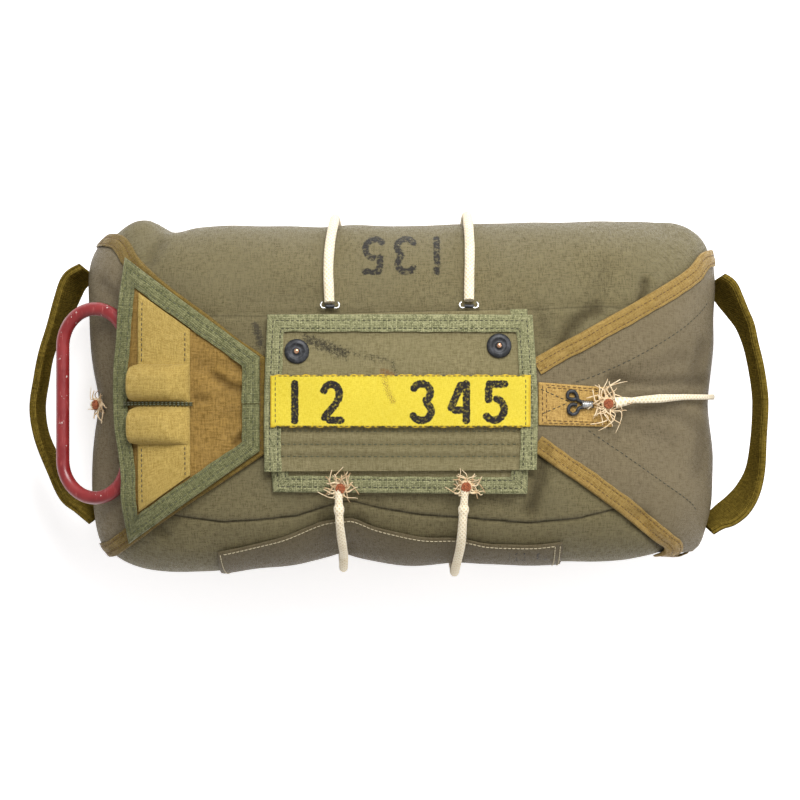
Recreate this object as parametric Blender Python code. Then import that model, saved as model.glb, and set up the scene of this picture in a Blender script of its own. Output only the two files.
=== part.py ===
"""A packed chest parachute lying on its back on a flat surface.

A stuffed canvas tray is closed by a front panel and two taped end flaps. A folded
cover hides the closing pins in the middle, a pocket flap holds the red ripcord
grip, and elastic bands hooked near the middle pull the flaps open when it is used.

Metres, +Z up. The origin is on the resting surface under the middle of the pack,
+Y points to the pack's upper edge as worn, and the grip is at the -X end.
"""

import math

import bmesh
import bpy
import numpy as np

# The stuffed tray: its outline at the widest level, and how square it is.
PACK_LENGTH = 0.386
PACK_WIDTH = 0.219
CROWN_HEIGHT = 0.138
WIDEST_LEVEL = 0.060
BELLY_DEPTH = 0.070
SHOULDER_POWER = 3.0
CROWN_POWER = 2.5
CORNER_POWER = 8.0
CORNER_EASE = 4.0
BODY_CELLS_X = 28
BODY_CELLS_Y = 16
BODY_CELLS_Z = 8

# Cloth, tape and the space between pieces that lie on each other.
AIR = 0.0010
CANVAS = 0.0010
TAPE_PLY = 0.0008
TAPE_WIDTH = 0.0085
TAPE_LIP = 0.0010
LIP_AIR = 0.0005
PLY_AIR = 0.0006
BOUND_EDGE = CANVAS + PLY_AIR + TAPE_PLY
OVER_BOUND = AIR + BOUND_EDGE + PLY_AIR
PATCH_CLOTH = 0.0010

# The two end flaps. A turn is the angle in degrees above the level of the widest outline,
# seen from a line across the pack AXIS_IN from its middle.
AXIS_IN = 0.050
RIGHT_END_EDGES = (
    # turn, lower edge, upper edge
    (69.5, -0.0280, 0.0225),
    (58.5, -0.0400, 0.0322),
    (50.5, -0.0490, 0.0395),
    (39.0, -0.0640, 0.0523),
    (25.5, -0.0825, 0.0685),
    (18.5, -0.0890, 0.0778),
    (12.0, -0.0938, 0.0868),
    (4.0, -0.0946, 0.0900),
    (-2.0, -0.0942, 0.0905),
)
LEFT_END_EDGES = (
    # turn, lower edge, upper edge
    (68.5, -0.0300, 0.0240),
    (58.0, -0.0405, 0.0350),
    (48.5, -0.0510, 0.0478),
    (36.5, -0.0660, 0.0645),
    (26.0, -0.0805, 0.0812),
    (19.0, -0.0885, 0.0930),
    (13.5, -0.0922, 0.0978),
    (4.0, -0.0930, 0.0985),
    (-2.0, -0.0925, 0.0980),
)
END_FLAP_SHARES = (0.0, 0.02, 0.045, 0.075, 0.11, 0.16, 0.24, 0.36, 0.5)

# The ochre piece that stiffens the right end flap round its hook.
PATCH_CORNERS = ((0.0880, -0.0147), (0.1245, -0.0160), (0.1215, 0.0075), (0.0880, 0.0105))

# The pocket flap over the grip's inner leg, from its lower corner to its upper one.
POCKET_OPEN_EDGE = (
    (-0.1590, -0.0812),
    (-0.1614, -0.0586),
    (-0.1612, -0.0455),
    (-0.1630, -0.0290),
    (-0.1652, -0.0130),
    (-0.1656, 0.0160),
    (-0.1640, 0.0350),
    (-0.1630, 0.0546),
    (-0.1612, 0.0805),
)
POCKET_FIXED_EDGE = ((-0.0836, -0.0291), (-0.0836, 0.0245))
POCKET_LIFT = OVER_BOUND
POCKET_TOP = POCKET_LIFT + BOUND_EDGE

# The tan band on the pocket flap: two humps to put fingers or tools under.
BAND_HEM_X = -0.1222
BAND_OPEN_X = -0.1522
HUMP_OPEN_X = -0.1552
BAND_UPPER_EDGE = ((-0.1575, 0.0663), (-0.1219, 0.0407))
BAND_LOWER_EDGE = ((-0.1575, -0.0690), (-0.1219, -0.0438))
BAND_FLAT_SHARES = (1.0, 0.72, 0.44, 0.2, 0.0)
HUMP_ROWS = (
    # y, hump height
    (-0.0248, 0.0034),
    (-0.0210, 0.0054),
    (-0.0143, 0.0060),
    (-0.0075, 0.0052),
    (-0.0038, 0.0030),
    (-0.0022, 0.0),
    (-0.0006, 0.0032),
    (0.0035, 0.0056),
    (0.0095, 0.0062),
    (0.0160, 0.0054),
    (0.0198, 0.0032),
)
HUMP_ENDS = (-0.0262, 0.0212)
BAND_CELLS = 6

# The ripcord grip: a rod bent into a loop, leaning out over the pack's end.
ROD_RADIUS = 0.0040
GRIP_LEG_X = -0.1625
GRIP_LEG_Z = 0.1216
GRIP_MIDDLE_Y = -0.0020
GRIP_HALF_LENGTH = 0.0566
GRIP_WIDTH = 0.0450
GRIP_LEAN = math.radians(25)
GRIP_SIDES = 10
GRIP_ARC_STEPS = 9
POCKET_RISE = 0.0086
POCKET_RISE_GAIN = 25.0

# The cover over the closing pins, and the flap under it that shows at its edges.
UNDER_LEFT = ((-0.0735, -0.0525), (-0.0745, -0.0300), (-0.0745, 0.0300), (-0.0730, 0.0495))
UNDER_RIGHT = ((0.0735, -0.0535), (0.0740, -0.0300), (0.0740, 0.0300), (0.0735, 0.0530))
COVER_LEFT = ((-0.0780, -0.0415), (-0.0779, 0.0000), (-0.0762, 0.0480))
COVER_RIGHT = ((0.0785, -0.0405), (0.0790, 0.0000), (0.0762, 0.0478))
COVER_LIFT = OVER_BOUND
COVER_TOP = COVER_LIFT + BOUND_EDGE
COVER_HEM = 0.0009
COVER_ROWS = (0.0, 0.045, 0.055, 0.2, 0.36, 0.52, 0.68, 0.84, 1.0)
STRIP_CORNERS = ((-0.0754, -0.0158), (0.0760, -0.0158), (0.0760, 0.0146), (-0.0754, 0.0146))
SNAP_PLACES = {"snap_left": (-0.0603, 0.0283), "snap_right": (0.0579, 0.0315)}
SNAP_RADIUS = 0.0073
SNAP_SIDES = 18
SNAP_STEPS = (
    # share of the radius, height
    (1.00, 0.0000),
    (1.00, 0.0008),
    (0.90, 0.0016),
    (0.62, 0.0021),
    (0.56, 0.0013),
    (0.26, 0.0013),
    (0.22, 0.0030),
    (0.00, 0.0034),
)

# Elastic opening bands: braided cord over a rubber core.
CORD_RADIUS = 0.0032
CORD_SIDES = 8
CORD_STATIONS = 14
SIDE_CORDS = {
    # name: side, height over the skin, then x against the angle above the widest outline
    "band_upper_left": (
        1,
        0.0040,
        ((-0.0412, 52.75), (-0.0425, 46.0), (-0.0422, 33.0), (-0.0397, 22.0), (-0.0395, -29.0)),
    ),
    "band_upper_right": (
        1,
        0.0040,
        ((0.0406, 51.75), (0.0408, 45.0), (0.0417, 33.0), (0.0411, 20.0), (0.0405, -29.0)),
    ),
    "band_lower_left": (
        -1,
        0.0110,
        ((-0.0362, 50.6), (-0.0356, 43.0), (-0.0335, 30.0), (-0.0340, 20.0), (-0.0370, -29.0)),
    ),
    "band_lower_right": (
        -1,
        0.0076,
        ((0.0376, 51.7), (0.0367, 42.0), (0.0358, 33.0), (0.0331, 25.0), (0.0335, -29.0)),
    ),
}
END_CORDS = {
    # name: side, then height over the skin, y and turn
    "band_right_end": (
        1,
        (
            (0.0080, -0.0012, 40.4),
            (0.0080, 0.0000, 36.0),
            (0.0086, 0.0010, 28.0),
            (0.0078, 0.0018, 20.0),
            (0.0066, 0.0018, -22.0),
        ),
    ),
    "band_left_end": (-1, ((0.0078, -0.0030, 9.0), (0.0086, -0.0030, 0.0), (0.0094, -0.0030, -22.0))),
}
FRAYED_ENDS = {
    # name: middle on the skin in x and y, height over the skin, way the cord runs off
    "frayed_lower_left": ((-0.0350, -0.0505), 0.0042, -92.0),
    "frayed_lower_right": ((0.0388, -0.0497), 0.0042, -95.0),
    "frayed_right_end": ((0.1212, -0.0022), 0.0040, 10.0),
    "frayed_left_end": ((-0.1785, -0.0030), 0.0032, 180.0),
}
HUB_RADIUS = 0.0040
HUB_HEIGHT = 0.0032
CORE_RADIUS = 0.0031
CORE_HEIGHT = 0.0022
YARNS = 12
YARN_REACH = 0.0075

# The hook on the right end flap, the two on the upper bands, and the sewn label.
HOOK_WIRE = 0.0011
BAND_HOOK_LIFT = 0.0036
END_HOOK_PATH = (
    # x, y
    (0.1030, 0.0062),
    (0.1000, 0.0046),
    (0.0990, 0.0010),
    (0.1008, -0.0028),
    (0.1046, -0.0040),
    (0.1084, -0.0030),
    (0.1106, -0.0027),
    (0.1128, -0.0026),
)
LABEL_EDGES = (
    # x, upper edge's angle, lower edge's angle
    (-0.1090, 30.5, -6.0),
    (-0.0900, 33.0, -6.0),
    (-0.0704, 36.0, -6.0),
    (-0.0560, 39.0, -6.0),
    (-0.0434, 41.5, -6.0),
    (-0.0330, 42.5, -6.0),
    (-0.0270, 42.5, -6.0),
    (-0.0119, 38.5, -6.0),
    (0.0131, 36.5, -6.0),
    (0.0333, 36.0, -6.0),
    (0.0518, 34.5, -6.0),
    (0.0750, 34.5, -6.0),
    (0.0970, 35.0, -6.0),
)
LABEL_CELLS_DOWN = 6
LABEL_LIFT = 0.0013

# The webbing handles stand on edge beyond the pack's ends.
WEBBING_THICK = 0.0046
WEBBING_WIDTH = 0.0440
HANDLE_MIDDLE_Z = 0.0560
HANDLES = {
    # x, y and how far the top edge leans out, in degrees
    "handle_left": (
        (-0.1940, 0.0797, -8.0),
        (-0.2022, 0.0735, -10.0),
        (-0.2075, 0.0615, -8.0),
        (-0.2141, 0.0440, -3.0),
        (-0.2197, 0.0287, 0.0),
        (-0.2228, 0.0130, 0.0),
        (-0.2252, -0.0050, 0.0),
        (-0.2222, -0.0235, 0.0),
        (-0.2140, -0.0422, -3.0),
        (-0.2048, -0.0578, -8.0),
        (-0.1963, -0.0650, -8.0),
        (-0.1875, -0.0724, -8.0),
    ),
    "handle_right": (
        (0.1961, 0.0742, 8.0),
        (0.2010, 0.0690, 12.0),
        (0.2052, 0.0620, 10.0),
        (0.2100, 0.0540, 6.0),
        (0.2145, 0.0460, 3.0),
        (0.2180, 0.0345, 0.0),
        (0.2209, 0.0220, 0.0),
        (0.2234, 0.0067, 0.0),
        (0.2240, -0.0050, 0.0),
        (0.2228, -0.0240, 0.0),
        (0.2209, -0.0428, 3.0),
        (0.2165, -0.0556, 8.0),
        (0.2100, -0.0650, 12.0),
        (0.2025, -0.0712, 12.0),
        (0.1962, -0.0748, 8.0),
        (0.1901, -0.0783, 8.0),
    ),
}


# How the bands pull the tray in and where the packed canopy pushes it out.
# Each row runs from one point to another: positive heights stand out, negative ones are pulled in,
# and a pinch falls off straight to its middle where a swell is round.
RELIEF = (
    # start, end, height, reach, pinch
    ((-0.0339, -0.090, 0.104), (-0.0385, -0.106, 0.015), -0.0170, 0.026, True),
    ((0.036, -0.088, 0.112), (0.034, -0.104, 0.015), -0.0015, 0.012, False),
    ((-0.043, 0.084, 0.116), (-0.041, 0.110, 0.015), -0.0025, 0.013, False),
    ((0.043, 0.084, 0.116), (0.042, 0.110, 0.015), -0.0025, 0.013, False),
    ((0.168, 0.000, 0.116), (0.193, 0.000, 0.015), -0.0080, 0.024, True),
    ((-0.188, 0.000, 0.088), (-0.193, 0.000, 0.015), -0.0052, 0.022, True),
    ((-0.158, 0.103, 0.080), (-0.158, 0.106, 0.035), 0.0080, 0.013, False),
    ((-0.139, 0.106, 0.085), (-0.139, 0.109, 0.030), -0.0045, 0.009, False),
    ((0.182, -0.094, 0.070), (0.180, -0.095, 0.030), 0.0034, 0.014, False),
    ((0.156, -0.101, 0.080), (0.156, -0.104, 0.025), -0.0040, 0.012, False),
    ((0.055, -0.109, 0.060), (0.140, -0.109, 0.060), -0.0075, 0.052, False),
    ((-0.160, -0.109, 0.060), (-0.090, -0.109, 0.060), -0.0020, 0.040, False),
    ((-0.075, -0.109, 0.060), (0.166, -0.109, 0.060), -0.0056, 0.036, False),
    ((-0.135, 0.109, 0.060), (-0.005, 0.109, 0.060), -0.0028, 0.034, False),
    ((0.135, 0.109, 0.060), (0.165, 0.107, 0.060), 0.0022, 0.022, False),
    ((0.170, 0.104, 0.060), (0.184, 0.099, 0.060), 0.0042, 0.020, False),
    ((-0.193, 0.050, 0.060), (-0.193, 0.010, 0.060), -0.0036, 0.028, False),
    ((-0.193, -0.015, 0.060), (-0.193, -0.060, 0.060), -0.0058, 0.028, False),
    ((-0.191, -0.084, 0.060), (-0.186, -0.094, 0.060), -0.0070, 0.020, False),
    ((0.191, -0.088, 0.060), (0.189, -0.094, 0.060), -0.0040, 0.014, False),
    ((0.160, 0.109, 0.090), (0.160, 0.109, 0.030), -0.0020, 0.012, False),
    ((-0.100, 0.070, 0.110), (-0.020, 0.080, 0.110), 0.0020, 0.035, False),
    ((0.110, 0.065, 0.110), (0.140, 0.030, 0.110), 0.0020, 0.030, False),
    ((0.080, -0.065, 0.110), (0.130, -0.050, 0.105), 0.0020, 0.028, False),
)


def squareness(points):
    """Below zero inside the tray's plain rounded form, zero on it and above zero outside."""
    x = np.abs(points[:, 0]) / (PACK_LENGTH / 2)
    y = np.abs(points[:, 1]) / (PACK_WIDTH / 2)
    rise = points[:, 2] - WIDEST_LEVEL
    z = np.abs(rise) / np.where(rise > 0, CROWN_HEIGHT - WIDEST_LEVEL, BELLY_DEPTH)
    corner = CORNER_POWER - CORNER_EASE * np.minimum(z, 1.0) ** 2
    plan = (x**corner + y**corner) ** (1 / corner)
    return plan**SHOULDER_POWER + z**CROWN_POWER - 1


def slope_of(points, step=5e-4):
    """How fast squareness grows along each axis."""
    columns = []
    for move in np.eye(3) * step:
        columns.append((squareness(points + move) - squareness(points - move)) / (2 * step))
    return np.stack(columns, axis=1)


def outward(points):
    """The tray's outward direction at each point."""
    slope = slope_of(points)
    return slope / np.linalg.norm(slope, axis=1)[:, None]


def relief(points):
    """How far the bands and the packing move the skin out at each point."""
    moved = np.zeros(len(points))
    for start, end, height, reach, pinch in RELIEF:
        start, run = np.array(start), np.array(end) - np.array(start)
        along = np.clip((points - start) @ run / (run @ run), 0, 1)
        away = np.linalg.norm(points - start - along[:, None] * run, axis=1) / reach
        moved += height * (np.exp(-away) if pinch else np.exp(-(away**2)))
    return moved


def clearance(points):
    """Height over the tray's skin at each point, along its outward direction."""
    slope = np.linalg.norm(slope_of(points), axis=1)
    return squareness(points) / slope - relief(points)


def settle(points, lift, steps=14):
    """Moves points along the outward direction until they lie at that height over the skin."""
    points = np.array(points, float).reshape(-1, 3)
    for _ in range(steps):
        points = points - outward(points) * (clearance(points) - lift)[:, None]
    return points


def reach_skin(origins, directions, lift, near=0.015, far=0.30, halvings=34):
    """Where rays from inside the tray come out at that height over its skin."""
    origins = np.array(origins, float).reshape(-1, 3)
    directions = np.array(directions, float).reshape(-1, 3)
    low = np.full(len(origins), near)
    high = np.full(len(origins), far)
    for _ in range(halvings):
        middle = (low + high) / 2
        inside = clearance(origins + middle[:, None] * directions) < lift
        low = np.where(inside, middle, low)
        high = np.where(inside, high, middle)
    return origins + middle[:, None] * directions


def make_material(name, colour, roughness, metallic=0.0):
    """A finish in the part's own colour."""
    material = bpy.data.materials.new(name)
    material.use_nodes = True
    shader = material.node_tree.nodes["Principled BSDF"]
    shader.inputs["Base Color"].default_value = (*colour, 1.0)
    shader.inputs["Roughness"].default_value = roughness
    shader.inputs["Metallic"].default_value = metallic
    material.diffuse_color = (*colour, 1.0)
    return material


def add_object(name, mesh_data, material):
    """Links a mesh or curve to the scene as one named piece."""
    piece = bpy.data.objects.new(name, mesh_data)
    piece.data.materials.append(material)
    bpy.context.scene.collection.objects.link(piece)
    return piece


def add_body(material):
    """The stuffed tray: six grids wrapped onto the skin, flattened where they rest."""
    shape = bmesh.new()
    half = np.array((PACK_LENGTH, PACK_WIDTH, CROWN_HEIGHT)) / 2
    sides = (
        # axis that stays, the two that run, their cells
        (0, 1, 2, BODY_CELLS_Y, BODY_CELLS_Z),
        (1, 0, 2, BODY_CELLS_X, BODY_CELLS_Z),
        (2, 0, 1, BODY_CELLS_X, BODY_CELLS_Y),
    )
    for fixed, across, along, cells_across, cells_along in sides:
        for end in (-1, 1):
            rows = []
            for i in range(cells_across + 1):
                row = []
                for j in range(cells_along + 1):
                    corner = np.zeros(3)
                    corner[fixed] = end
                    corner[across] = 2 * i / cells_across - 1
                    corner[along] = 2 * j / cells_along - 1
                    row.append(shape.verts.new(corner * half))
                rows.append(row)
            for i in range(cells_across):
                for j in range(cells_along):
                    shape.faces.new((rows[i][j], rows[i + 1][j], rows[i + 1][j + 1], rows[i][j + 1]))
    bmesh.ops.remove_doubles(shape, verts=shape.verts, dist=1e-6)
    bmesh.ops.recalc_face_normals(shape, faces=shape.faces)
    directions = np.array([vert.co for vert in shape.verts])
    centre = np.tile((0.0, 0.0, WIDEST_LEVEL), (len(directions), 1))
    lengths = np.linalg.norm(directions, axis=1)[:, None]
    skin = reach_skin(centre, directions / lengths, 0.0)
    for vert, place in zip(shape.verts, skin):
        vert.co = (place[0], place[1], max(place[2], 0.0))
    resting = [face for face in shape.faces if all(vert.co.z < 1e-9 for vert in face.verts)]
    bmesh.ops.dissolve_faces(shape, faces=resting)
    mesh = bpy.data.meshes.new("pack_body")
    shape.to_mesh(mesh)
    shape.free()
    mesh.shade_smooth()
    return add_object("pack_body", mesh, material)


def on_top(x, y):
    """Points of the skin straight over places in the plan."""
    x, y = np.broadcast_arrays(np.asarray(x, float), np.asarray(y, float))
    origins = np.stack([x.ravel(), y.ravel(), np.full(x.size, WIDEST_LEVEL)], axis=1)
    return reach_skin(origins, np.tile((0.0, 0.0, 1.0), (x.size, 1)), 0.0).reshape(*x.shape, 3)


def on_end(side, turn, y):
    """Points of the skin over and down one end, at an angle and a place across the pack."""
    turn, y = np.broadcast_arrays(np.radians(turn), np.asarray(y, float))
    origins = np.stack([np.full(y.size, side * AXIS_IN), y.ravel(), np.full(y.size, WIDEST_LEVEL)], axis=1)
    turn = turn.ravel()
    directions = np.stack([side * np.cos(turn), 0 * turn, np.sin(turn)], axis=1)
    return reach_skin(origins, directions, 0.0).reshape(*y.shape, 3)


def on_side(side, x, turn):
    """Points of the skin over and down the upper (1) or lower (-1) wall."""
    x, turn = np.broadcast_arrays(np.asarray(x, float), np.radians(turn))
    origins = np.stack([x.ravel(), 0 * x.ravel(), np.full(x.size, WIDEST_LEVEL)], axis=1)
    turn = turn.ravel()
    directions = np.stack([0 * turn, side * np.cos(turn), np.sin(turn)], axis=1)
    return reach_skin(origins, directions, 0.0).reshape(*x.shape, 3)


def spaced(points, step):
    """The same line with points no further apart than step, corners kept."""
    points = np.asarray(points, float)
    line = [points[0]]
    for start, end in zip(points[:-1], points[1:]):
        cuts = max(1, math.ceil(np.linalg.norm(end - start) / step))
        line += [start + (end - start) * k / cuts for k in range(1, cuts + 1)]
    return np.array(line)


def shared_out(points, cells):
    """A line cut into that many pieces of one length."""
    points = np.asarray(points, float)
    run = np.concatenate([[0], np.cumsum(np.linalg.norm(np.diff(points, axis=0), axis=1))])
    marks = np.linspace(0, run[-1], cells + 1)
    return np.stack([np.interp(marks, run, points[:, k]) for k in range(points.shape[1])], axis=1)


def raised_over_grip(points):
    """Holds the pocket flap up over the rod's leg, so that the grip can slide out from under it."""
    ease_in = np.clip((points[:, 0] - GRIP_LEG_X - 0.005) / 0.058, 0, 1)
    beyond = np.abs(points[:, 1] - GRIP_MIDDLE_Y) - GRIP_HALF_LENGTH
    hold = (0.5 + 0.5 * np.cos(math.pi * ease_in)) * (1 - 0.7 * np.clip(beyond / 0.030, 0, 1))
    rise = POCKET_RISE + POCKET_RISE_GAIN * np.maximum(0, GRIP_LEG_X + 0.0045 - points[:, 0]) ** 2
    points[:, 2] += hold * rise
    return points


def add_shape(name, places, faces, material, smooth=True):
    """One closed piece from its points and faces."""
    shape = bmesh.new()
    verts = [shape.verts.new(place) for place in places]
    for face in faces:
        shape.faces.new([verts[k] for k in face])
    bmesh.ops.recalc_face_normals(shape, faces=shape.faces)
    mesh = bpy.data.meshes.new(name)
    shape.to_mesh(mesh)
    shape.free()
    if smooth:
        mesh.shade_smooth()
        mesh.set_sharp_from_angle(angle=math.radians(40))
    return add_object(name, mesh, material)


def add_sheet(name, base, lift, thickness, material, over_grip=False):
    """A sheet of cloth over a grid of places on the skin."""
    rows, columns = base.shape[:2]
    lifts = np.broadcast_to(np.asarray(lift, float), (rows, columns)).ravel()
    thickness = np.broadcast_to(np.asarray(thickness, float), (rows, columns)).ravel()
    places = []
    for height in (lifts, lifts + thickness):
        layer = settle(base.reshape(-1, 3), height)
        if over_grip:
            layer = raised_over_grip(layer)
        places.append(layer)
    places = np.concatenate(places)
    count = rows * columns

    def at(i, j):
        return i * columns + j

    faces = []
    for i in range(rows - 1):
        for j in range(columns - 1):
            cell = (at(i, j), at(i + 1, j), at(i + 1, j + 1), at(i, j + 1))
            faces.append(cell)
            faces.append([count + k for k in reversed(cell)])
    rim = [at(i, 0) for i in range(rows)]
    rim += [at(rows - 1, j) for j in range(1, columns)]
    rim += [at(i, columns - 1) for i in range(rows - 2, -1, -1)]
    rim += [at(0, j) for j in range(columns - 2, 0, -1)]
    for here, there in zip(rim, rim[1:] + rim[:1]):
        faces.append((there, here, count + here, count + there))
    return add_shape(name, places, faces, material)


def add_run(name, rings, material, closed=False):
    """A piece of one cross-section all along a line of rings."""
    rings = np.asarray(rings, float)
    stations, sides = rings.shape[:2]
    faces = []
    for i in range(stations if closed else stations - 1):
        after = (i + 1) % stations
        for k in range(sides):
            other = (k + 1) % sides
            faces.append((i * sides + k, i * sides + other, after * sides + other, after * sides + k))
    if not closed:
        faces.append(range(sides))
        faces.append(range((stations - 1) * sides, stations * sides))
    return add_shape(name, rings.reshape(-1, 3), faces, material)


def tube_rings(path, radius, sides, closed=False):
    """Round rings along a line, square to it."""
    path = np.asarray(path, float)
    if closed:
        ways = np.roll(path, -1, axis=0) - np.roll(path, 1, axis=0)
    else:
        ways = np.gradient(path, axis=0)
    ways = ways / np.linalg.norm(ways, axis=1)[:, None]
    side = np.cross(ways[0], (0.0, 0.0, 1.0))
    if np.linalg.norm(side) < 0.2:
        side = np.cross(ways[0], (0.0, 1.0, 0.0))
    rings = []
    for place, way in zip(path, ways):
        side = side - way * (side @ way)
        side = side / np.linalg.norm(side)
        up = np.cross(side, way)
        angles = 2 * math.pi * np.arange(sides) / sides
        rings.append(place + radius * (np.cos(angles)[:, None] * side + np.sin(angles)[:, None] * up))
    return rings


def clear_corners(base, width):
    """Leaves out stations so near a sharp corner that the tape's inner edge would fold on itself."""
    keep = np.ones(len(base), bool)
    for k in range(1, len(base) - 1):
        into = base[k] - base[k - 1]
        away = base[k + 1] - base[k]
        bend = math.acos(np.clip(into @ away / np.linalg.norm(into) / np.linalg.norm(away), -1, 1))
        if bend > math.radians(25):
            reach = width * math.tan(bend / 2) + 0.0015
            near = np.linalg.norm(base - base[k], axis=1) < reach
            near[[0, k, len(base) - 1]] = False
            keep &= ~near
    return base[keep]


def add_binding(name, base, lift, inward, material, over_grip=False):
    """Tape sewn over an edge of a sheet: a ply on the sheet and a lip down its edge."""
    base = clear_corners(base, TAPE_WIDTH)
    ahead = np.diff(base, axis=0)
    ahead = ahead / np.linalg.norm(ahead, axis=1)[:, None]
    up = outward(base)
    before = inward * np.cross(up, np.vstack([ahead[:1], ahead]))
    after = inward * np.cross(up, np.vstack([ahead, ahead[-1:]]))
    before = before / np.linalg.norm(before, axis=1)[:, None]
    after = after / np.linalg.norm(after, axis=1)[:, None]
    across = (before + after) / (1 + np.sum(before * after, axis=1))[:, None]
    outer = -LIP_AIR - TAPE_LIP
    ply = CANVAS + PLY_AIR
    section = (
        (outer, 0.0),
        (-LIP_AIR, 0.0),
        (-LIP_AIR, ply),
        (TAPE_WIDTH / 2, ply),
        (TAPE_WIDTH, ply),
        (TAPE_WIDTH, ply + TAPE_PLY),
        (TAPE_WIDTH / 2, ply + TAPE_PLY),
        (outer, ply + TAPE_PLY),
    )
    columns = []
    for offset, height in section:
        places = settle(base + across * offset, lift + height)
        if over_grip:
            places = raised_over_grip(places)
        columns.append(places)
    return add_run(name, np.stack(columns, axis=1), material)


def add_end_flap(name, side, table, cloth, tape):
    """One end flap down its end of the tray, with tape round its two long edges and its tip."""
    table = np.array(table)
    turns = spaced(table[:, :1], 6.0)[:, 0]
    low = np.interp(-turns, -table[:, 0], table[:, 1])
    high = np.interp(-turns, -table[:, 0], table[:, 2])
    share = np.array(END_FLAP_SHARES)
    share = np.concatenate([share, 1 - share[-2::-1]])
    y = low[:, None] + (high - low)[:, None] * share
    sheet = add_sheet(name, on_end(side, turns[:, None], y), AIR, CANVAS, cloth)
    up_run = [(row[0], row[1] * 1000) for row in table[::-1]]
    down_run = [(row[0], row[2] * 1000) for row in table]
    line = spaced(up_run + down_run, 7.0)
    base = on_end(side, line[:, 0], line[:, 1] / 1000)
    return sheet, add_binding(name.replace("flap", "binding"), base, AIR, -side, tape)


def add_pocket(cloth, tape, band_cloth):
    """The flap over the grip's leg, bound all round, and the tan band sewn over it."""
    left = spaced(POCKET_OPEN_EDGE, 0.0090)
    right = shared_out(POCKET_FIXED_EDGE, len(left) - 1)
    share = np.linspace(0, 1, 12)[:, None, None]
    plan = left[None] * (1 - share) + right[None] * share
    base = on_top(plan[..., 0], plan[..., 1])
    add_sheet("pocket_flap", base, POCKET_LIFT - 0.0003, CANVAS, cloth, over_grip=True)
    (x, low), (_, high) = POCKET_FIXED_EDGE
    tape_ends = ((x, (low + high) / 2 + 0.0004), (x, (low + high) / 2 - 0.0004))
    outline = [tape_ends[0], (x, high), *POCKET_OPEN_EDGE[::-1], (x, low), tape_ends[1]]
    line = spaced(outline, 0.0085)
    add_binding("pocket_binding", on_top(line[:, 0], line[:, 1]), POCKET_LIFT, 1, tape, over_grip=True)
    share = np.linspace(0, 1, BAND_CELLS + 1)
    fade = np.clip((1 - share) / 0.25, 0, 1)
    x_rows = []
    y_rows = []
    lifts = []
    flat_x = BAND_OPEN_X * (1 - share) + BAND_HEM_X * share
    for end, edge, shares in (
        (HUMP_ENDS[0], BAND_LOWER_EDGE, BAND_FLAT_SHARES),
        (HUMP_ENDS[1], BAND_UPPER_EDGE, BAND_FLAT_SHARES[::-1]),
    ):
        (x0, y0), (x1, y1) = edge
        edge_y = y0 + (y1 - y0) * (flat_x - x0) / (x1 - x0)
        for out in shares:
            x_rows.append(flat_x)
            y_rows.append(end + (edge_y - end) * out)
            lifts.append(0 * share)
        if edge is BAND_LOWER_EDGE:
            for y, swell in HUMP_ROWS:
                open_x = BAND_OPEN_X + (HUMP_OPEN_X - BAND_OPEN_X) * min(1.0, swell / 0.0030)
                x_rows.append(open_x * (1 - share) + BAND_HEM_X * share)
                y_rows.append(y + 0 * share)
                lifts.append(swell * fade)
    lift = POCKET_LIFT + CANVAS + PLY_AIR + np.array(lifts)
    base = on_top(np.array(x_rows), np.array(y_rows))
    add_sheet("pocket_band", base, lift, CANVAS, band_cloth, over_grip=True)


def add_grip(paint):
    """The ripcord grip: a closed loop of rod."""
    reach = GRIP_WIDTH / 2
    straight = GRIP_HALF_LENGTH - reach
    path = []
    for end in (1, -1):
        for k in range(GRIP_ARC_STEPS + 1):
            angle = math.pi * k / GRIP_ARC_STEPS
            path.append((end * reach * math.cos(angle), end * (straight + reach * math.sin(angle))))
        for k in range(1, 5):
            path.append((-end * reach, end * straight * (1 - 2 * k / 5)))
    path = np.array(path)
    out = path[:, 0] - reach
    places = np.stack(
        [
            GRIP_LEG_X + out * math.cos(GRIP_LEAN),
            GRIP_MIDDLE_Y + path[:, 1],
            GRIP_LEG_Z + out * math.sin(GRIP_LEAN),
        ],
        axis=1,
    )
    rings = tube_rings(places, ROD_RADIUS, GRIP_SIDES, closed=True)
    return add_run("ripcord_grip", rings, paint, closed=True)


def plan_grid(left, right, along, across, marks=None):
    """Places on the skin between a left and a right edge."""
    left = shared_out(left, 100)
    right = shared_out(right, 100)
    if marks is None:
        marks = np.linspace(0, 1, across + 1)
    pick = np.round(np.asarray(marks) * 100).astype(int)
    left = left[pick]
    right = right[pick]
    share = np.linspace(0, 1, along + 1)[:, None, None]
    plan = left[None] * (1 - share) + right[None] * share
    return on_top(plan[..., 0], plan[..., 1])


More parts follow.
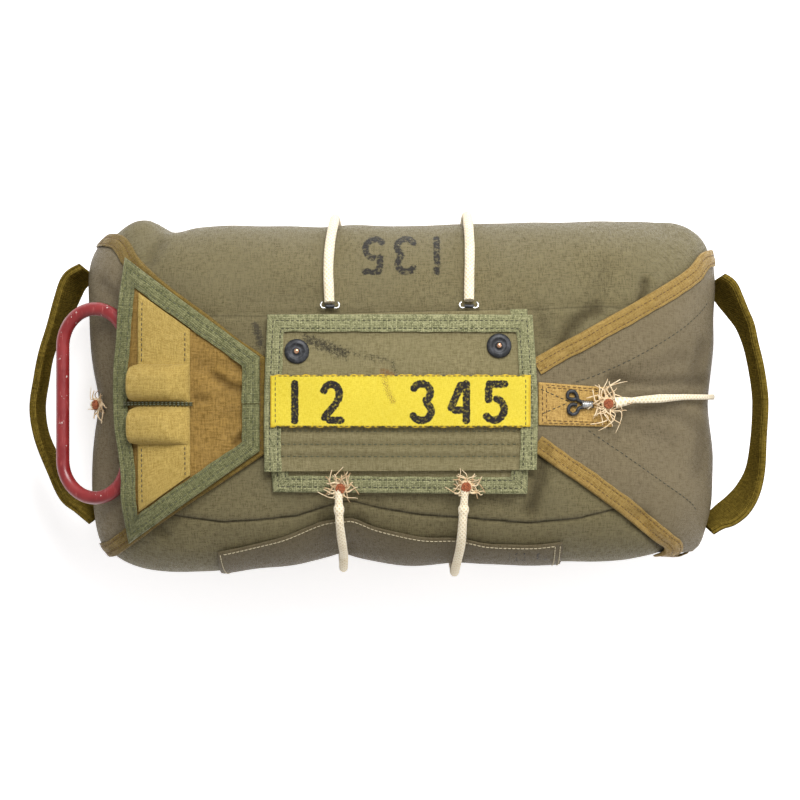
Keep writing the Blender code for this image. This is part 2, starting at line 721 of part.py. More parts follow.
def add_covers(cloth, tape, strip_cloth):
    """The under flap, the cover over it with its number strip, and their tapes."""
    base = plan_grid(UNDER_LEFT, UNDER_RIGHT, 12, 10)
    add_sheet("under_flap", base, AIR, CANVAS, cloth)
    outline = [*UNDER_LEFT[::-1], *UNDER_RIGHT]
    line = spaced(outline, 0.0095)
    add_binding("under_binding", on_top(line[:, 0], line[:, 1]), AIR, 1, tape)
    base = plan_grid(COVER_LEFT, COVER_RIGHT, 12, 0, marks=COVER_ROWS)
    thickness = np.full(base.shape[:2], CANVAS)
    thickness[2:-2, :2] += COVER_HEM
    add_sheet("cover_flap", base, COVER_LIFT, thickness, cloth)
    outline = [*COVER_LEFT, *COVER_RIGHT[::-1]]
    line = spaced(outline, 0.0095)
    add_binding("cover_binding", on_top(line[:, 0], line[:, 1]), COVER_LIFT, -1, tape)
    low_left, low_right, high_right, high_left = STRIP_CORNERS
    base = plan_grid((low_left, high_left), (low_right, high_right), 12, 3)
    add_sheet("number_strip", base, COVER_TOP + 0.0005, PATCH_CLOTH, strip_cloth)


def add_snap(name, place, metal):
    """One snap cap: a dished metal button with a raised middle."""
    middle = on_top(place[0], place[1]).reshape(1, 3)
    up = outward(middle)[0]
    foot = settle(middle, COVER_LIFT + CANVAS + 0.0008)[0]
    side = np.cross((0.0, 1.0, 0.0), up)
    side = side / np.linalg.norm(side)
    other = np.cross(up, side)
    angles = 2 * math.pi * np.arange(SNAP_SIDES) / SNAP_SIDES
    round_way = np.cos(angles)[:, None] * side + np.sin(angles)[:, None] * other
    places = [foot + up * height + SNAP_RADIUS * share * round_way for share, height in SNAP_STEPS[:-1]]
    places = np.concatenate([*places, [foot + up * SNAP_STEPS[-1][1]]])
    faces = [range(SNAP_SIDES)]
    for i in range(len(SNAP_STEPS) - 2):
        low = i * SNAP_SIDES
        high = low + SNAP_SIDES
        for k in range(SNAP_SIDES):
            after = (k + 1) % SNAP_SIDES
            faces.append((low + k, low + after, high + after, high + k))
    last = (len(SNAP_STEPS) - 2) * SNAP_SIDES
    faces += [(last + k, last + (k + 1) % SNAP_SIDES, len(places) - 1) for k in range(SNAP_SIDES)]
    return add_shape(name, places, faces, metal)


def add_side_cord(name, side, lift, table, cloth):
    """A band over the pack's upper or lower wall."""
    table = np.array(table)
    turns = np.linspace(table[0, 1], table[-1, 1], CORD_STATIONS)
    x = np.interp(-turns, -table[:, 1], table[:, 0])
    path = settle(on_side(side, x, turns), lift)
    return add_run(name, tube_rings(path, CORD_RADIUS, CORD_SIDES), cloth)


def add_end_cord(name, side, table, cloth):
    """A band over one end of the pack."""
    table = np.array(table)
    steps = CORD_STATIONS if side > 0 else CORD_STATIONS // 2
    turns = np.linspace(table[0, 2], table[-1, 2], steps)
    lift = np.interp(-turns, -table[:, 2], table[:, 0])
    y = np.interp(-turns, -table[:, 2], table[:, 1])
    path = settle(on_end(side, turns, y), lift)
    return add_run(name, tube_rings(path, CORD_RADIUS, CORD_SIDES), cloth)


def add_frayed_end(name, place, lift, heading, yarn, rubber):
    """The cut end of a band: yarns standing out round a hub, and the rubber core on it."""
    random = np.random.default_rng(len(name) * 7)
    middle = on_top(place[0], place[1]).reshape(1, 3)
    up = outward(middle)[0]
    foot = settle(middle, lift)[0]
    way = np.array((math.cos(math.radians(heading)), math.sin(math.radians(heading)), 0.0))
    way = way - up * (way @ up)
    way = way / np.linalg.norm(way)
    other = np.cross(up, way)
    shape = bmesh.new()
    rings = []
    for height in (0.0, 0.35, 1.0):
        ring = []
        for k in range(YARNS):
            angle = 2 * math.pi * (k + 0.5) / YARNS
            spot = foot + up * height * HUB_HEIGHT
            spot = spot + HUB_RADIUS * (math.cos(angle) * way + math.sin(angle) * other)
            ring.append(shape.verts.new(spot))
        rings.append(ring)
    shape.faces.new(rings[0][::-1])
    shape.faces.new(rings[2])
    roots = []
    for low, high in zip(rings[:-1], rings[1:]):
        for k in range(YARNS):
            after = (k + 1) % YARNS
            face = shape.faces.new((low[k], low[after], high[after], high[k]))
            if low is rings[1] and 0 < k + 1 < YARNS:
                roots.append((face, k))
    bmesh.ops.recalc_face_normals(shape, faces=shape.faces)
    for face, k in roots:
        angle = 2 * math.pi * (k + 1) / YARNS
        reach = YARN_REACH * random.uniform(0.55, 1.0)
        rise = random.uniform(0.15, 0.75)
        drift = random.uniform(-0.5, 0.5)
        direction = math.cos(angle) * way + math.sin(angle) * other
        sideways = np.cross(up, direction)
        bmesh.ops.inset_individual(shape, faces=[face], thickness=0.00055, depth=0.0)
        for step, swing in ((0.5, drift), (0.5, -drift)):
            pushed = bmesh.ops.extrude_discrete_faces(shape, faces=[face])
            face = pushed["faces"][0]
            move = reach * step * (direction + rise * (1 - step) * up + swing * 0.5 * sideways)
            centre = np.array(face.calc_center_median())
            for vert in face.verts:
                vert.co = tuple(centre + move + (np.array(vert.co) - centre) * 0.85)
    mesh = bpy.data.meshes.new(name)
    shape.to_mesh(mesh)
    shape.free()
    add_object(name, mesh, yarn)
    rings = []
    for height in (0.00035, CORE_HEIGHT * 0.7, CORE_HEIGHT):
        size = CORE_RADIUS * (0.82 if height == CORE_HEIGHT else 1.0)
        angles = 2 * math.pi * np.arange(12) / 12
        spots = foot + up * (HUB_HEIGHT + height)
        rings.append(spots + size * (np.cos(angles)[:, None] * way + np.sin(angles)[:, None] * other))
    return add_run(name.replace("frayed", "core"), rings, rubber)


def add_end_hook(metal):
    """The small bent-wire hook in front of the right band's end."""
    line = spaced(END_HOOK_PATH, 0.003)
    path = settle(on_top(line[:, 0], line[:, 1]), AIR + CANVAS + PLY_AIR + PATCH_CLOTH + 0.0016)
    return add_run("end_hook", tube_rings(path, HOOK_WIRE, 6), metal)


def add_band_hook(name, x, start_turn, metal):
    """The wire hook at the inner end of an upper band."""
    turns = np.linspace(start_turn, start_turn + 1.0, 2)
    foot = settle(on_side(1, np.full(2, x), turns), BAND_HOOK_LIFT)
    way = foot[1] - foot[0]
    way = way / np.linalg.norm(way)
    side = np.array((1.0, 0.0, 0.0))
    path = []
    for k in range(9):
        angle = math.pi * k / 8
        path.append(foot[0] + side * 0.0030 * math.cos(angle) + way * 0.0032 * math.sin(angle))
    return add_run(name, tube_rings(path, 0.0009, 6), metal)


def add_label(cloth):
    """The label sewn along the lower wall."""
    table = np.array(LABEL_EDGES)
    share = np.linspace(0, 1, LABEL_CELLS_DOWN + 1)
    turns = table[:, 1:2] * (1 - share) + table[:, 2:3] * share
    x = np.repeat(table[:, 0:1], LABEL_CELLS_DOWN + 1, axis=1)
    bridge = LABEL_LIFT + 0.0012 * np.exp(-(((x + 0.034) / 0.012) ** 2))
    return add_sheet("sewn_label", on_side(-1, x, turns), bridge, PATCH_CLOTH, cloth)


def add_handle(name, table, cloth):
    """A webbing handle: a flat strap standing on edge round its loop."""
    table = np.array(table)
    line = spaced(table * (1, 1, 0.001), 0.009) / (1, 1, 0.001)
    ways = np.gradient(line[:, :2], axis=0)
    ways = ways / np.linalg.norm(ways, axis=1)[:, None]
    rings = []
    for (x, y, lean), way in zip(line, ways):
        middle = np.array((x, y, HANDLE_MIDDLE_Z))
        flat = np.array((way[1], -way[0], 0.0))
        up = np.array((0.0, 0.0, 1.0))
        lean = math.radians(lean) * (1 if flat[0] * x > 0 else -1) * (1 if x > 0 else -1)
        out = flat * math.cos(lean) - up * math.sin(lean)
        top = up * math.cos(lean) + flat * math.sin(lean)
        ring = []
        for thick, wide in ((-1, -1), (1, -1), (1, 1), (-1, 1)):
            ring.append(middle + out * thick * WEBBING_THICK / 2 + top * wide * WEBBING_WIDTH / 2)
        rings.append(ring)
    return add_run(name, rings, cloth)


def build():
    """Makes every piece of the pack."""
    for old in list(bpy.data.objects):
        bpy.data.objects.remove(old, do_unlink=True)
    canvas = make_material("olive_canvas", (0.190, 0.165, 0.100), 0.90)
    add_body(canvas)
    ochre = make_material("ochre_tape", (0.430, 0.250, 0.070), 0.85)
    olive_flap = make_material("olive_flap_canvas", (0.175, 0.155, 0.092), 0.90)
    add_end_flap("right_end_flap", 1, RIGHT_END_EDGES, olive_flap, ochre)
    add_end_flap("left_end_flap", -1, LEFT_END_EDGES, olive_flap, ochre)
    patch_cloth = make_material("ochre_patch", (0.320, 0.200, 0.065), 0.88)
    low_left, low_right, high_right, high_left = PATCH_CORNERS
    base = plan_grid((low_left, high_left), (low_right, high_right), 6, 4)
    patch_lift = AIR + CANVAS + PLY_AIR
    add_sheet("end_patch", base, patch_lift, PATCH_CLOTH, patch_cloth)
    mustard = make_material("mustard_canvas", (0.300, 0.185, 0.055), 0.90)
    green = make_material("green_tape", (0.170, 0.210, 0.100), 0.85)
    tan = make_material("tan_canvas", (0.500, 0.350, 0.120), 0.88)
    add_pocket(mustard, green, tan)
    add_grip(make_material("red_paint", (0.300, 0.014, 0.020), 0.35))
    cover_canvas = make_material("cover_canvas", (0.200, 0.190, 0.105), 0.90)
    yellow = make_material("yellow_strip", (0.850, 0.640, 0.030), 0.75)
    add_covers(cover_canvas, green, yellow)
    dark_metal = make_material("dark_metal", (0.035, 0.038, 0.050), 0.40, metallic=0.7)
    for name, place in SNAP_PLACES.items():
        add_snap(name, place, dark_metal)
    cord_cloth = make_material("cream_braid", (0.750, 0.640, 0.430), 0.85)
    for name, (side, lift, table) in SIDE_CORDS.items():
        add_side_cord(name, side, lift, table, cord_cloth)
    for name, (side, table) in END_CORDS.items():
        add_end_cord(name, side, table, cord_cloth)
    rubber = make_material("rust_rubber", (0.420, 0.120, 0.045), 0.70)
    for name, (place, lift, heading) in FRAYED_ENDS.items():
        add_frayed_end(name, place, lift, heading, cord_cloth, rubber)
    add_end_hook(dark_metal)
    add_band_hook("band_hook_left", -0.0412, 53.1, dark_metal)
    add_band_hook("band_hook_right", 0.0406, 52.8, dark_metal)
    add_label(make_material("label_cloth", (0.200, 0.170, 0.110), 0.92))
    webbing = make_material("olive_webbing", (0.120, 0.090, 0.020), 0.80)
    for name, table in HANDLES.items():
        add_handle(name, table, webbing)


build()
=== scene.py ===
import math

import bpy
import numpy as np
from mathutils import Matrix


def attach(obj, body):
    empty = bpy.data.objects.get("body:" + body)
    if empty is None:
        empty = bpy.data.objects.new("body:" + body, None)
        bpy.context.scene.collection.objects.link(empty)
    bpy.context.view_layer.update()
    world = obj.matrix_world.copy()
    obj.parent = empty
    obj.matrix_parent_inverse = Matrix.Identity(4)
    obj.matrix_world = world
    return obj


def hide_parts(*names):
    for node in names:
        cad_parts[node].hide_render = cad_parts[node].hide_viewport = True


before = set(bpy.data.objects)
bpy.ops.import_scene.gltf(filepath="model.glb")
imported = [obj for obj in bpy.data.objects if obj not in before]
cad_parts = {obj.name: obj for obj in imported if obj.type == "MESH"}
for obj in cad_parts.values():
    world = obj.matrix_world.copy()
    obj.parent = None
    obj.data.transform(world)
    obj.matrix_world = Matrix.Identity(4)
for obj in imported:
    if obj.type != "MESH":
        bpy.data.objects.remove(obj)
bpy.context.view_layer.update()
scene = bpy.context.scene

# The view. The pack lies on its back on a pale floor and is seen from straight above,
# in the soft light of one large window beyond its upper edge.
EYE_HEIGHT = 1.60
FOCUS_LEVEL = 0.060
VIEW_WIDTH = 0.496
SENSOR = 36.0

camera = bpy.data.cameras.new("view_camera")
camera.sensor_width = SENSOR
camera.lens = SENSOR * (EYE_HEIGHT - FOCUS_LEVEL) / VIEW_WIDTH
camera_holder = bpy.data.objects.new("view_camera", camera)
camera_holder.location = (0.0, 0.0, EYE_HEIGHT)
scene.collection.objects.link(camera_holder)
scene.camera = camera_holder

scene.view_settings.view_transform = "Standard"
sky = bpy.data.worlds.new("soft_room")
sky.use_nodes = True
sky.node_tree.nodes["Background"].inputs["Color"].default_value = (1.0, 0.99, 0.98, 1.0)
sky.node_tree.nodes["Background"].inputs["Strength"].default_value = 0.50
scene.world = sky


def add_window(name, place, size, power):
    """A square soft light that faces the middle of the pack."""
    light = bpy.data.lights.new(name, "AREA")
    light.shape = "SQUARE"
    light.size = size
    light.energy = power
    holder = bpy.data.objects.new(name, light)
    holder.location = place
    away = np.array(place) - np.array((0.0, 0.0, FOCUS_LEVEL))
    tilt = math.atan2(math.hypot(away[0], away[1]), away[2])
    turn = math.atan2(away[0], -away[1])
    holder.rotation_euler = (tilt, 0.0, turn)
    scene.collection.objects.link(holder)


add_window("window_light", (0.16, 0.72, 1.15), 0.60, 18.5)
add_window("side_light", (0.95, -0.10, 0.90), 0.70, 3.0)

floor_mesh = bpy.data.meshes.new("pale_floor")
floor_mesh.from_pydata([(-3, -3, 0), (3, -3, 0), (3, 3, 0), (-3, 3, 0)], [], [(0, 1, 2, 3)])
floor = bpy.data.objects.new("pale_floor", floor_mesh)
floor.location.z = -0.0005
floor_paint = bpy.data.materials.new("pale_floor")
floor_paint.use_nodes = True
floor_shader = floor_paint.node_tree.nodes["Principled BSDF"]
floor_shader.inputs["Base Color"].default_value = (0.93, 0.925, 0.935, 1.0)
floor_shader.inputs["Roughness"].default_value = 0.85
floor_shader.inputs["Emission Color"].default_value = (1.0, 0.99, 1.0, 1.0)
floor_shader.inputs["Emission Strength"].default_value = 0.56
floor_mesh.materials.append(floor_paint)
scene.collection.objects.link(floor)


# The stuffed tray: canvas panels round a folded canopy, seamed round the front panel.
# Bands and the packing inside pull its skin in and push it out.
PACK_LENGTH = 0.386
PACK_WIDTH = 0.219
CROWN_HEIGHT = 0.138
WIDEST_LEVEL = 0.060
BELLY_DEPTH = 0.070
SHOULDER_POWER = 3.0
CROWN_POWER = 2.5
CORNER_POWER = 8.0
CORNER_EASE = 4.0
TRAY_CELLS = (200, 116, 44)
RELIEF = (
    # start, end, height, reach, pinch
    ((-0.0339, -0.090, 0.104), (-0.0385, -0.106, 0.015), -0.0170, 0.026, True),
    ((0.036, -0.088, 0.112), (0.034, -0.104, 0.015), -0.0015, 0.012, False),
    ((-0.043, 0.084, 0.116), (-0.041, 0.110, 0.015), -0.0025, 0.013, False),
    ((0.043, 0.084, 0.116), (0.042, 0.110, 0.015), -0.0025, 0.013, False),
    ((0.168, 0.000, 0.116), (0.193, 0.000, 0.015), -0.0080, 0.024, True),
    ((-0.188, 0.000, 0.088), (-0.193, 0.000, 0.015), -0.0052, 0.022, True),
    ((-0.158, 0.103, 0.080), (-0.158, 0.106, 0.035), 0.0080, 0.013, False),
    ((-0.139, 0.106, 0.085), (-0.139, 0.109, 0.030), -0.0045, 0.009, False),
    ((0.182, -0.094, 0.070), (0.180, -0.095, 0.030), 0.0034, 0.014, False),
    ((0.156, -0.101, 0.080), (0.156, -0.104, 0.025), -0.0040, 0.012, False),
    ((0.055, -0.109, 0.060), (0.140, -0.109, 0.060), -0.0075, 0.052, False),
    ((-0.160, -0.109, 0.060), (-0.090, -0.109, 0.060), -0.0020, 0.040, False),
    ((-0.075, -0.109, 0.060), (0.166, -0.109, 0.060), -0.0056, 0.036, False),
    ((-0.135, 0.109, 0.060), (-0.005, 0.109, 0.060), -0.0028, 0.034, False),
    ((0.135, 0.109, 0.060), (0.165, 0.107, 0.060), 0.0022, 0.022, False),
    ((0.170, 0.104, 0.060), (0.184, 0.099, 0.060), 0.0042, 0.020, False),
    ((-0.193, 0.050, 0.060), (-0.193, 0.010, 0.060), -0.0036, 0.028, False),
    ((-0.193, -0.015, 0.060), (-0.193, -0.060, 0.060), -0.0058, 0.028, False),
    ((-0.191, -0.084, 0.060), (-0.186, -0.094, 0.060), -0.0070, 0.020, False),
    ((0.191, -0.088, 0.060), (0.189, -0.094, 0.060), -0.0040, 0.014, False),
    ((0.160, 0.109, 0.090), (0.160, 0.109, 0.030), -0.0020, 0.012, False),
    ((-0.100, 0.070, 0.110), (-0.020, 0.080, 0.110), 0.0020, 0.035, False),
    ((0.110, 0.065, 0.110), (0.140, 0.030, 0.110), 0.0020, 0.030, False),
    ((0.080, -0.065, 0.110), (0.130, -0.050, 0.105), 0.0020, 0.028, False),
)
UPPER_SEAM = (
    (-0.150, 0.050),
    (-0.114, 0.0497),
    (-0.081, 0.0495),
    (0.0, 0.052),
    (0.081, 0.0535),
    (0.118, 0.0555),
    (0.135, 0.0548),
    (0.150, 0.0545),
)
LOWER_SEAM = (
    (-0.150, -0.0650),
    (-0.1314, -0.0690),
    (-0.1063, -0.0724),
    (-0.0866, -0.0712),
    (-0.0617, -0.0688),
    (-0.0415, -0.0622),
    (-0.0350, -0.0603),
    (-0.0284, -0.0598),
    (-0.0118, -0.0640),
    (0.0130, -0.0681),
    (0.0332, -0.0693),
    (0.0628, -0.0717),
    (0.0752, -0.0729),
    (0.1067, -0.0699),
    (0.1210, -0.0664),
    (0.1500, -0.0600),
)
TRAY_CREASES = (
    # plan line, height, reach
    (((0.0850, -0.0300), (0.0835, -0.0480), (0.0774, -0.0650)), -0.0034, 0.0042),
    (((0.0930, -0.0360), (0.0900, -0.0560)), 0.0016, 0.0060),
    (((0.0960, 0.0320), (0.1010, 0.0420), (0.1090, 0.0500), (0.1160, 0.0530)), -0.0034, 0.0046),
    (((0.1030, 0.0330), (0.1120, 0.0430)), 0.0014, 0.0060),
    (((0.1439, 0.0583), (0.1462, 0.0640), (0.1468, 0.0700)), -0.0030, 0.0030),
    (((0.1500, 0.0600), (0.1530, 0.0700)), 0.0012, 0.0050),
    (((0.0830, 0.0520), (0.0860, 0.0380)), -0.0014, 0.0040),
    (((0.1380, -0.0672), (0.1395, -0.0745)), -0.0014, 0.0032),
    (((0.1440, -0.0700), (0.1500, -0.0800), (0.1600, -0.0900)), -0.0032, 0.0042),
    (((-0.1450, -0.0752), (-0.1403, -0.0806)), -0.0012, 0.0028),
    (((-0.0060, -0.0560), (0.0300, -0.0610), (0.0640, -0.0600)), -0.0008, 0.0050),
    (((-0.0250, -0.0560), (-0.0120, -0.0600)), -0.0012, 0.0035),
    (((0.0450, -0.0560), (0.0620, -0.0620)), -0.0008, 0.0040),
    (((-0.1500, 0.0830), (-0.1440, 0.0950)), -0.0016, 0.0040),
    (((-0.0950, 0.0600), (-0.0700, 0.0640), (-0.0500, 0.0620)), -0.0006, 0.0070),
    (((0.1160, 0.0620), (0.1230, 0.0800)), -0.0008, 0.0060),
    (((-0.0450, -0.0700), (-0.0420, -0.0850)), -0.0010, 0.0040),
    (((-0.0250, -0.0720), (-0.0200, -0.0900)), -0.0010, 0.0045),
    (((0.0900, 0.0520), (0.1000, 0.0640)), 0.0008, 0.0060),
)
FLAP_CREASES = (
    (((-0.1801, 0.0713), (-0.1705, 0.0624)), -0.0016, 0.0032),
    (((0.1250, 0.0120), (0.1490, 0.0095), (0.1780, 0.0110), (0.1840, 0.0115)), -0.0022, 0.0034),
    (((0.1400, 0.0065), (0.1700, 0.0080)), 0.0012, 0.0034),
    (((0.1420, -0.0060), (0.1700, -0.0090), (0.1830, -0.0180)), -0.0012, 0.0042),
    (((0.1290, 0.0150), (0.1500, 0.0200), (0.1700, 0.0260)), -0.0008, 0.0045),
    (((0.1300, -0.0130), (0.1480, -0.0170), (0.1650, -0.0240)), -0.0008, 0.0050),
    (((0.1830, 0.0330), (0.1790, 0.0180)), -0.0014, 0.0040),
    (((0.1830, -0.0260), (0.1800, -0.0420)), -0.0012, 0.0050),
)


def squareness(points):
    """Below zero inside the tray's plain rounded form, zero on it and above zero outside."""
    x = np.abs(points[:, 0]) / (PACK_LENGTH / 2)
    y = np.abs(points[:, 1]) / (PACK_WIDTH / 2)
    rise = points[:, 2] - WIDEST_LEVEL
    z = np.abs(rise) / np.where(rise > 0, CROWN_HEIGHT - WIDEST_LEVEL, BELLY_DEPTH)
    corner = CORNER_POWER - CORNER_EASE * np.minimum(z, 1.0) ** 2
    plan = (x**corner + y**corner) ** (1 / corner)
    return plan**SHOULDER_POWER + z**CROWN_POWER - 1


def slope_of(points, step=5e-4):
    """How fast squareness grows along each axis."""
    columns = []
    for move in np.eye(3) * step:
        columns.append((squareness(points + move) - squareness(points - move)) / (2 * step))
    return np.stack(columns, axis=1)


def outward(points):
    """The tray's outward direction at each point."""
    slope = slope_of(points)
    return slope / np.linalg.norm(slope, axis=1)[:, None]


def relief(points):
    """How far the bands and the packing move the skin out at each point, and its soft unevenness."""
    x, y, _ = points.T
    moved = np.sin(95 * x + 1.3) * np.sin(110 * y - 0.6) + 0.6 * np.sin(170 * x - 60 * y + 0.8)
    moved += 0.5 * np.sin(60 * x + 190 * y + 2.1)
    moved *= 0.00035 * np.clip((x + 0.148) / 0.02, 0, 1)
    for start, end, height, reach, pinch in RELIEF:
        start, run = np.array(start), np.array(end) - np.array(start)
        along = np.clip((points - start) @ run / (run @ run), 0, 1)
        away = np.linalg.norm(points - start - along[:, None] * run, axis=1) / reach
        moved += height * (np.exp(-away) if pinch else np.exp(-(away**2)))
    return moved


def clearance(points):
    """Height over the tray's skin at each point, along its outward direction."""
    slope = np.linalg.norm(slope_of(points), axis=1)
    return squareness(points) / slope - relief(points)


def settle(points, lift, steps=14):
    """Moves points along the outward direction until they lie at that height over the skin."""
    points = np.array(points, float).reshape(-1, 3)
    for _ in range(steps):
        points = points - outward(points) * (clearance(points) - lift)[:, None]
    return points


def reach_skin(origins, directions, lift, near=0.015, far=0.30, halvings=30):
    """Where rays from inside the tray come out at that height over its skin."""
    low = np.full(len(origins), near)
    high = np.full(len(origins), far)
    for _ in range(halvings):
        middle = (low + high) / 2
        inside = clearance(origins + middle[:, None] * directions) < lift
        low = np.where(inside, middle, low)
        high = np.where(inside, high, middle)
    return origins + middle[:, None] * directions


def plan_distance(points, line):
    """Distance from each point to a line, both seen from above."""
    line = np.array(line, float)
    nearest = np.full(len(points), np.inf)
    for start, end in zip(line[:-1], line[1:]):
        run = end - start
        along = np.clip((points[:, :2] - start) @ run / max(run @ run, 1e-12), 0, 1)
        away = points[:, :2] - start - along[:, None] * run
        nearest = np.minimum(nearest, np.linalg.norm(away, axis=1))
    return nearest


def past_line(points, line):
    """How far each point lies beyond a line that runs along the pack: above it in plan is positive."""
    line = np.array(line)
    return points[:, 1] - np.interp(points[:, 0], line[:, 0], line[:, 1])


def close_to(points, line, reach):
    """A share that is 1 on a line of the plan and fades within about its reach."""
    return np.exp(-((plan_distance(points, line) / reach) ** 2))


def fold_heights(points, creases):
    """How far creases and ridges move the cloth at each point."""
    moved = np.zeros(len(points))
    for line, height, reach in creases:
        moved += height * close_to(points, line, reach)
    return moved


def folded(points, creases):
    """Points moved in at the creases and out at the ridges."""
    return points + outward(points) * fold_heights(points, creases)[:, None]


def seam_step(points):
    """The panel's turned edge stands over the wall along both seams and drops to them."""
    moved = np.zeros(len(points))
    high_up = np.clip((points[:, 2] - 0.075) / 0.02, 0, 1)
    off_ends = np.clip((0.155 - np.abs(points[:, 0])) / 0.02, 0, 1)
    on_crown = high_up * off_ends
    for line, side in ((UPPER_SEAM, -1), (LOWER_SEAM, 1)):
        inside = side * past_line(points, line)
        panel = 0.0009 * np.exp(-np.maximum(inside, 0) / 0.010)
        wall = -0.0006 * np.exp(-np.maximum(-inside, 0) / 0.006)
        step = np.where(inside > 0, panel, wall) - 0.0010 * np.exp(-((inside / 0.0016) ** 2))
        moved += step * on_crown
    return moved


# Each cloth is made from the same few effects: a weave, and mottled fading with dust.
def wired(tree, kind, inputs=(), **settings):
    """A node with its settings, its inputs set to numbers or joined to other nodes' outputs."""
    made = tree.nodes.new(kind)
    for name, value in settings.items():
        setattr(made, name, value)
    for name, value in dict(inputs).items():
        if isinstance(value, bpy.types.NodeSocket):
            tree.links.new(value, made.inputs[name])
        else:
            made.inputs[name].default_value = value
    return made


def sums(tree, operation, first, second=0.0, third=0.0):
    """The result of one sum on numbers or sockets."""
    return wired(tree, "ShaderNodeMath", {0: first, 1: second, 2: third}, operation=operation).outputs[0]


def new_effect(name, inputs, outputs):
    """An empty shader node group with named inputs and outputs."""
    tree = bpy.data.node_groups.new(name, "ShaderNodeTree")
    for label, value in inputs:
        socket = tree.interface.new_socket(label, in_out="INPUT", socket_type="NodeSocketFloat")
        socket.default_value = value
    for label in outputs:
        tree.interface.new_socket(label, in_out="OUTPUT", socket_type="NodeSocketFloat")
    return tree, tree.nodes.new("NodeGroupInput").outputs, tree.nodes.new("NodeGroupOutput").inputs


def make_weave():
    """Plain-woven threads over the cloth's own coordinates, in metres."""
    tree, given, out = new_effect(
        "woven threads", (("Threads per metre", 1500.0), ("Slub", 0.5)), ("Height", "Tone")
    )
    place = wired(tree, "ShaderNodeTexCoord").outputs["UV"]
    across = wired(tree, "ShaderNodeSeparateXYZ", {0: place}).outputs
    u = sums(tree, "MULTIPLY", across[0], given[0])
    v = sums(tree, "MULTIPLY", across[1], given[0])
    warp = sums(tree, "SINE", sums(tree, "MULTIPLY", u, math.pi))
    weft = sums(tree, "SINE", sums(tree, "MULTIPLY", v, math.pi))
    over = sums(tree, "MULTIPLY_ADD", sums(tree, "MULTIPLY", warp, weft), 2.0, 0.5)
    over = wired(tree, "ShaderNodeClamp", {0: over}).outputs[0]
    warp_top = sums(tree, "ABSOLUTE", warp)
    weft_top = sums(tree, "ABSOLUTE", weft)
    height = wired(tree, "ShaderNodeMix", {0: over, 2: weft_top, 3: warp_top}).outputs[0]
    tones = []
    for fine_u, fine_v in ((1.0, 0.22), (0.22, 1.0), (0.75, 0.13), (0.13, 0.75)):
        at = wired(
            tree,
            "ShaderNodeCombineXYZ",
            {0: sums(tree, "MULTIPLY", u, fine_u), 1: sums(tree, "MULTIPLY", v, fine_v)},
        )
        tones.append(
            wired(
                tree, "ShaderNodeTexNoise", {"Vector": at.outputs[0], "Scale": 1.0, "Detail": 2.0}
            ).outputs[0]
        )
    thread = wired(tree, "ShaderNodeMix", {0: over, 2: tones[1], 3: tones[0]}).outputs[0]
    slub = sums(tree, "MULTIPLY", sums(tree, "ADD", tones[2], tones[3]), 0.5)
    tone = wired(tree, "ShaderNodeMix", {0: given[1], 2: thread, 3: slub}).outputs[0]
    tone = sums(tree, "MULTIPLY_ADD", sums(tree, "SUBTRACT", tone, 0.5), 5.0, 0.5)
    shaded = sums(tree, "MULTIPLY_ADD", sums(tree, "SUBTRACT", height, 0.6), 0.45, tone)
    tree.links.new(height, out[0])
    tree.links.new(wired(tree, "ShaderNodeClamp", {0: shaded}).outputs[0], out[1])
    return tree


def make_fading():
    """Mottled fading in soft patches, and specks of dust and lint."""
    tree, given, out = new_effect(
        "fading and dust", (("Patches per metre", 22.0), ("Seed", 0.0)), ("Fade", "Specks")
    )
    place = wired(tree, "ShaderNodeTexCoord").outputs["Object"]
    at = wired(
        tree,
        "ShaderNodeVectorMath",
        {0: place, 1: wired(tree, "ShaderNodeCombineXYZ", {0: given[1], 1: given[1]}).outputs[0]},
    )
    soft = wired(
        tree,
        "ShaderNodeTexNoise",
        {"Vector": at.outputs[0], "Scale": given[0], "Detail": 5.0, "Roughness": 0.62},
    )
    spread = wired(tree, "ShaderNodeMapRange", {0: soft.outputs[0], 1: 0.30, 2: 0.70})
    grain = wired(
        tree,
        "ShaderNodeTexNoise",
        {"Vector": at.outputs[0], "Scale": 1300.0, "Detail": 2.0, "Roughness": 0.7},
    )
    specks = wired(tree, "ShaderNodeMapRange", {0: grain.outputs[0], 1: 0.58, 2: 0.74})
    tree.links.new(spread.outputs[0], out[0])
    tree.links.new(specks.outputs[0], out[1])
    return tree


WEAVE = make_weave()
FADING = make_fading()


def effect(tree, group, inputs):
    """Places a shared effect in a material with its own values."""
    return wired(tree, "ShaderNodeGroup", inputs, node_tree=group).outputs


def value_of(tree, name):
    """A number that the mesh carries at each point."""
    return wired(tree, "ShaderNodeAttribute", attribute_name=name).outputs["Fac"]


def between(tree, share, first, second, blend="MIX"):
    """One colour turning into another by a share."""
    values = {0: share, 6: first, 7: second}
    return wired(tree, "ShaderNodeMix", values, data_type="RGBA", blend_type=blend).outputs[2]


def band_of(tree, value, low, high):
    """A smooth share that is 0 at low and 1 at high."""
    return wired(
        tree, "ShaderNodeMapRange", {0: value, 1: low, 2: high}, interpolation_type="SMOOTHSTEP"
    ).outputs[0]


def new_material(name):
    """A material with its node tree and its one shader."""
    material = bpy.data.materials.new(name)
    material.use_nodes = True
    return material, material.node_tree, material.node_tree.nodes["Principled BSDF"]


def emboss(tree, shader, height, strength, distance):
    """Fine relief too small for the mesh."""
    raised = wired(tree, "ShaderNodeBump", {"Strength": strength, "Distance": distance, "Height": height})
    tree.links.new(raised.outputs[0], shader.inputs["Normal"])


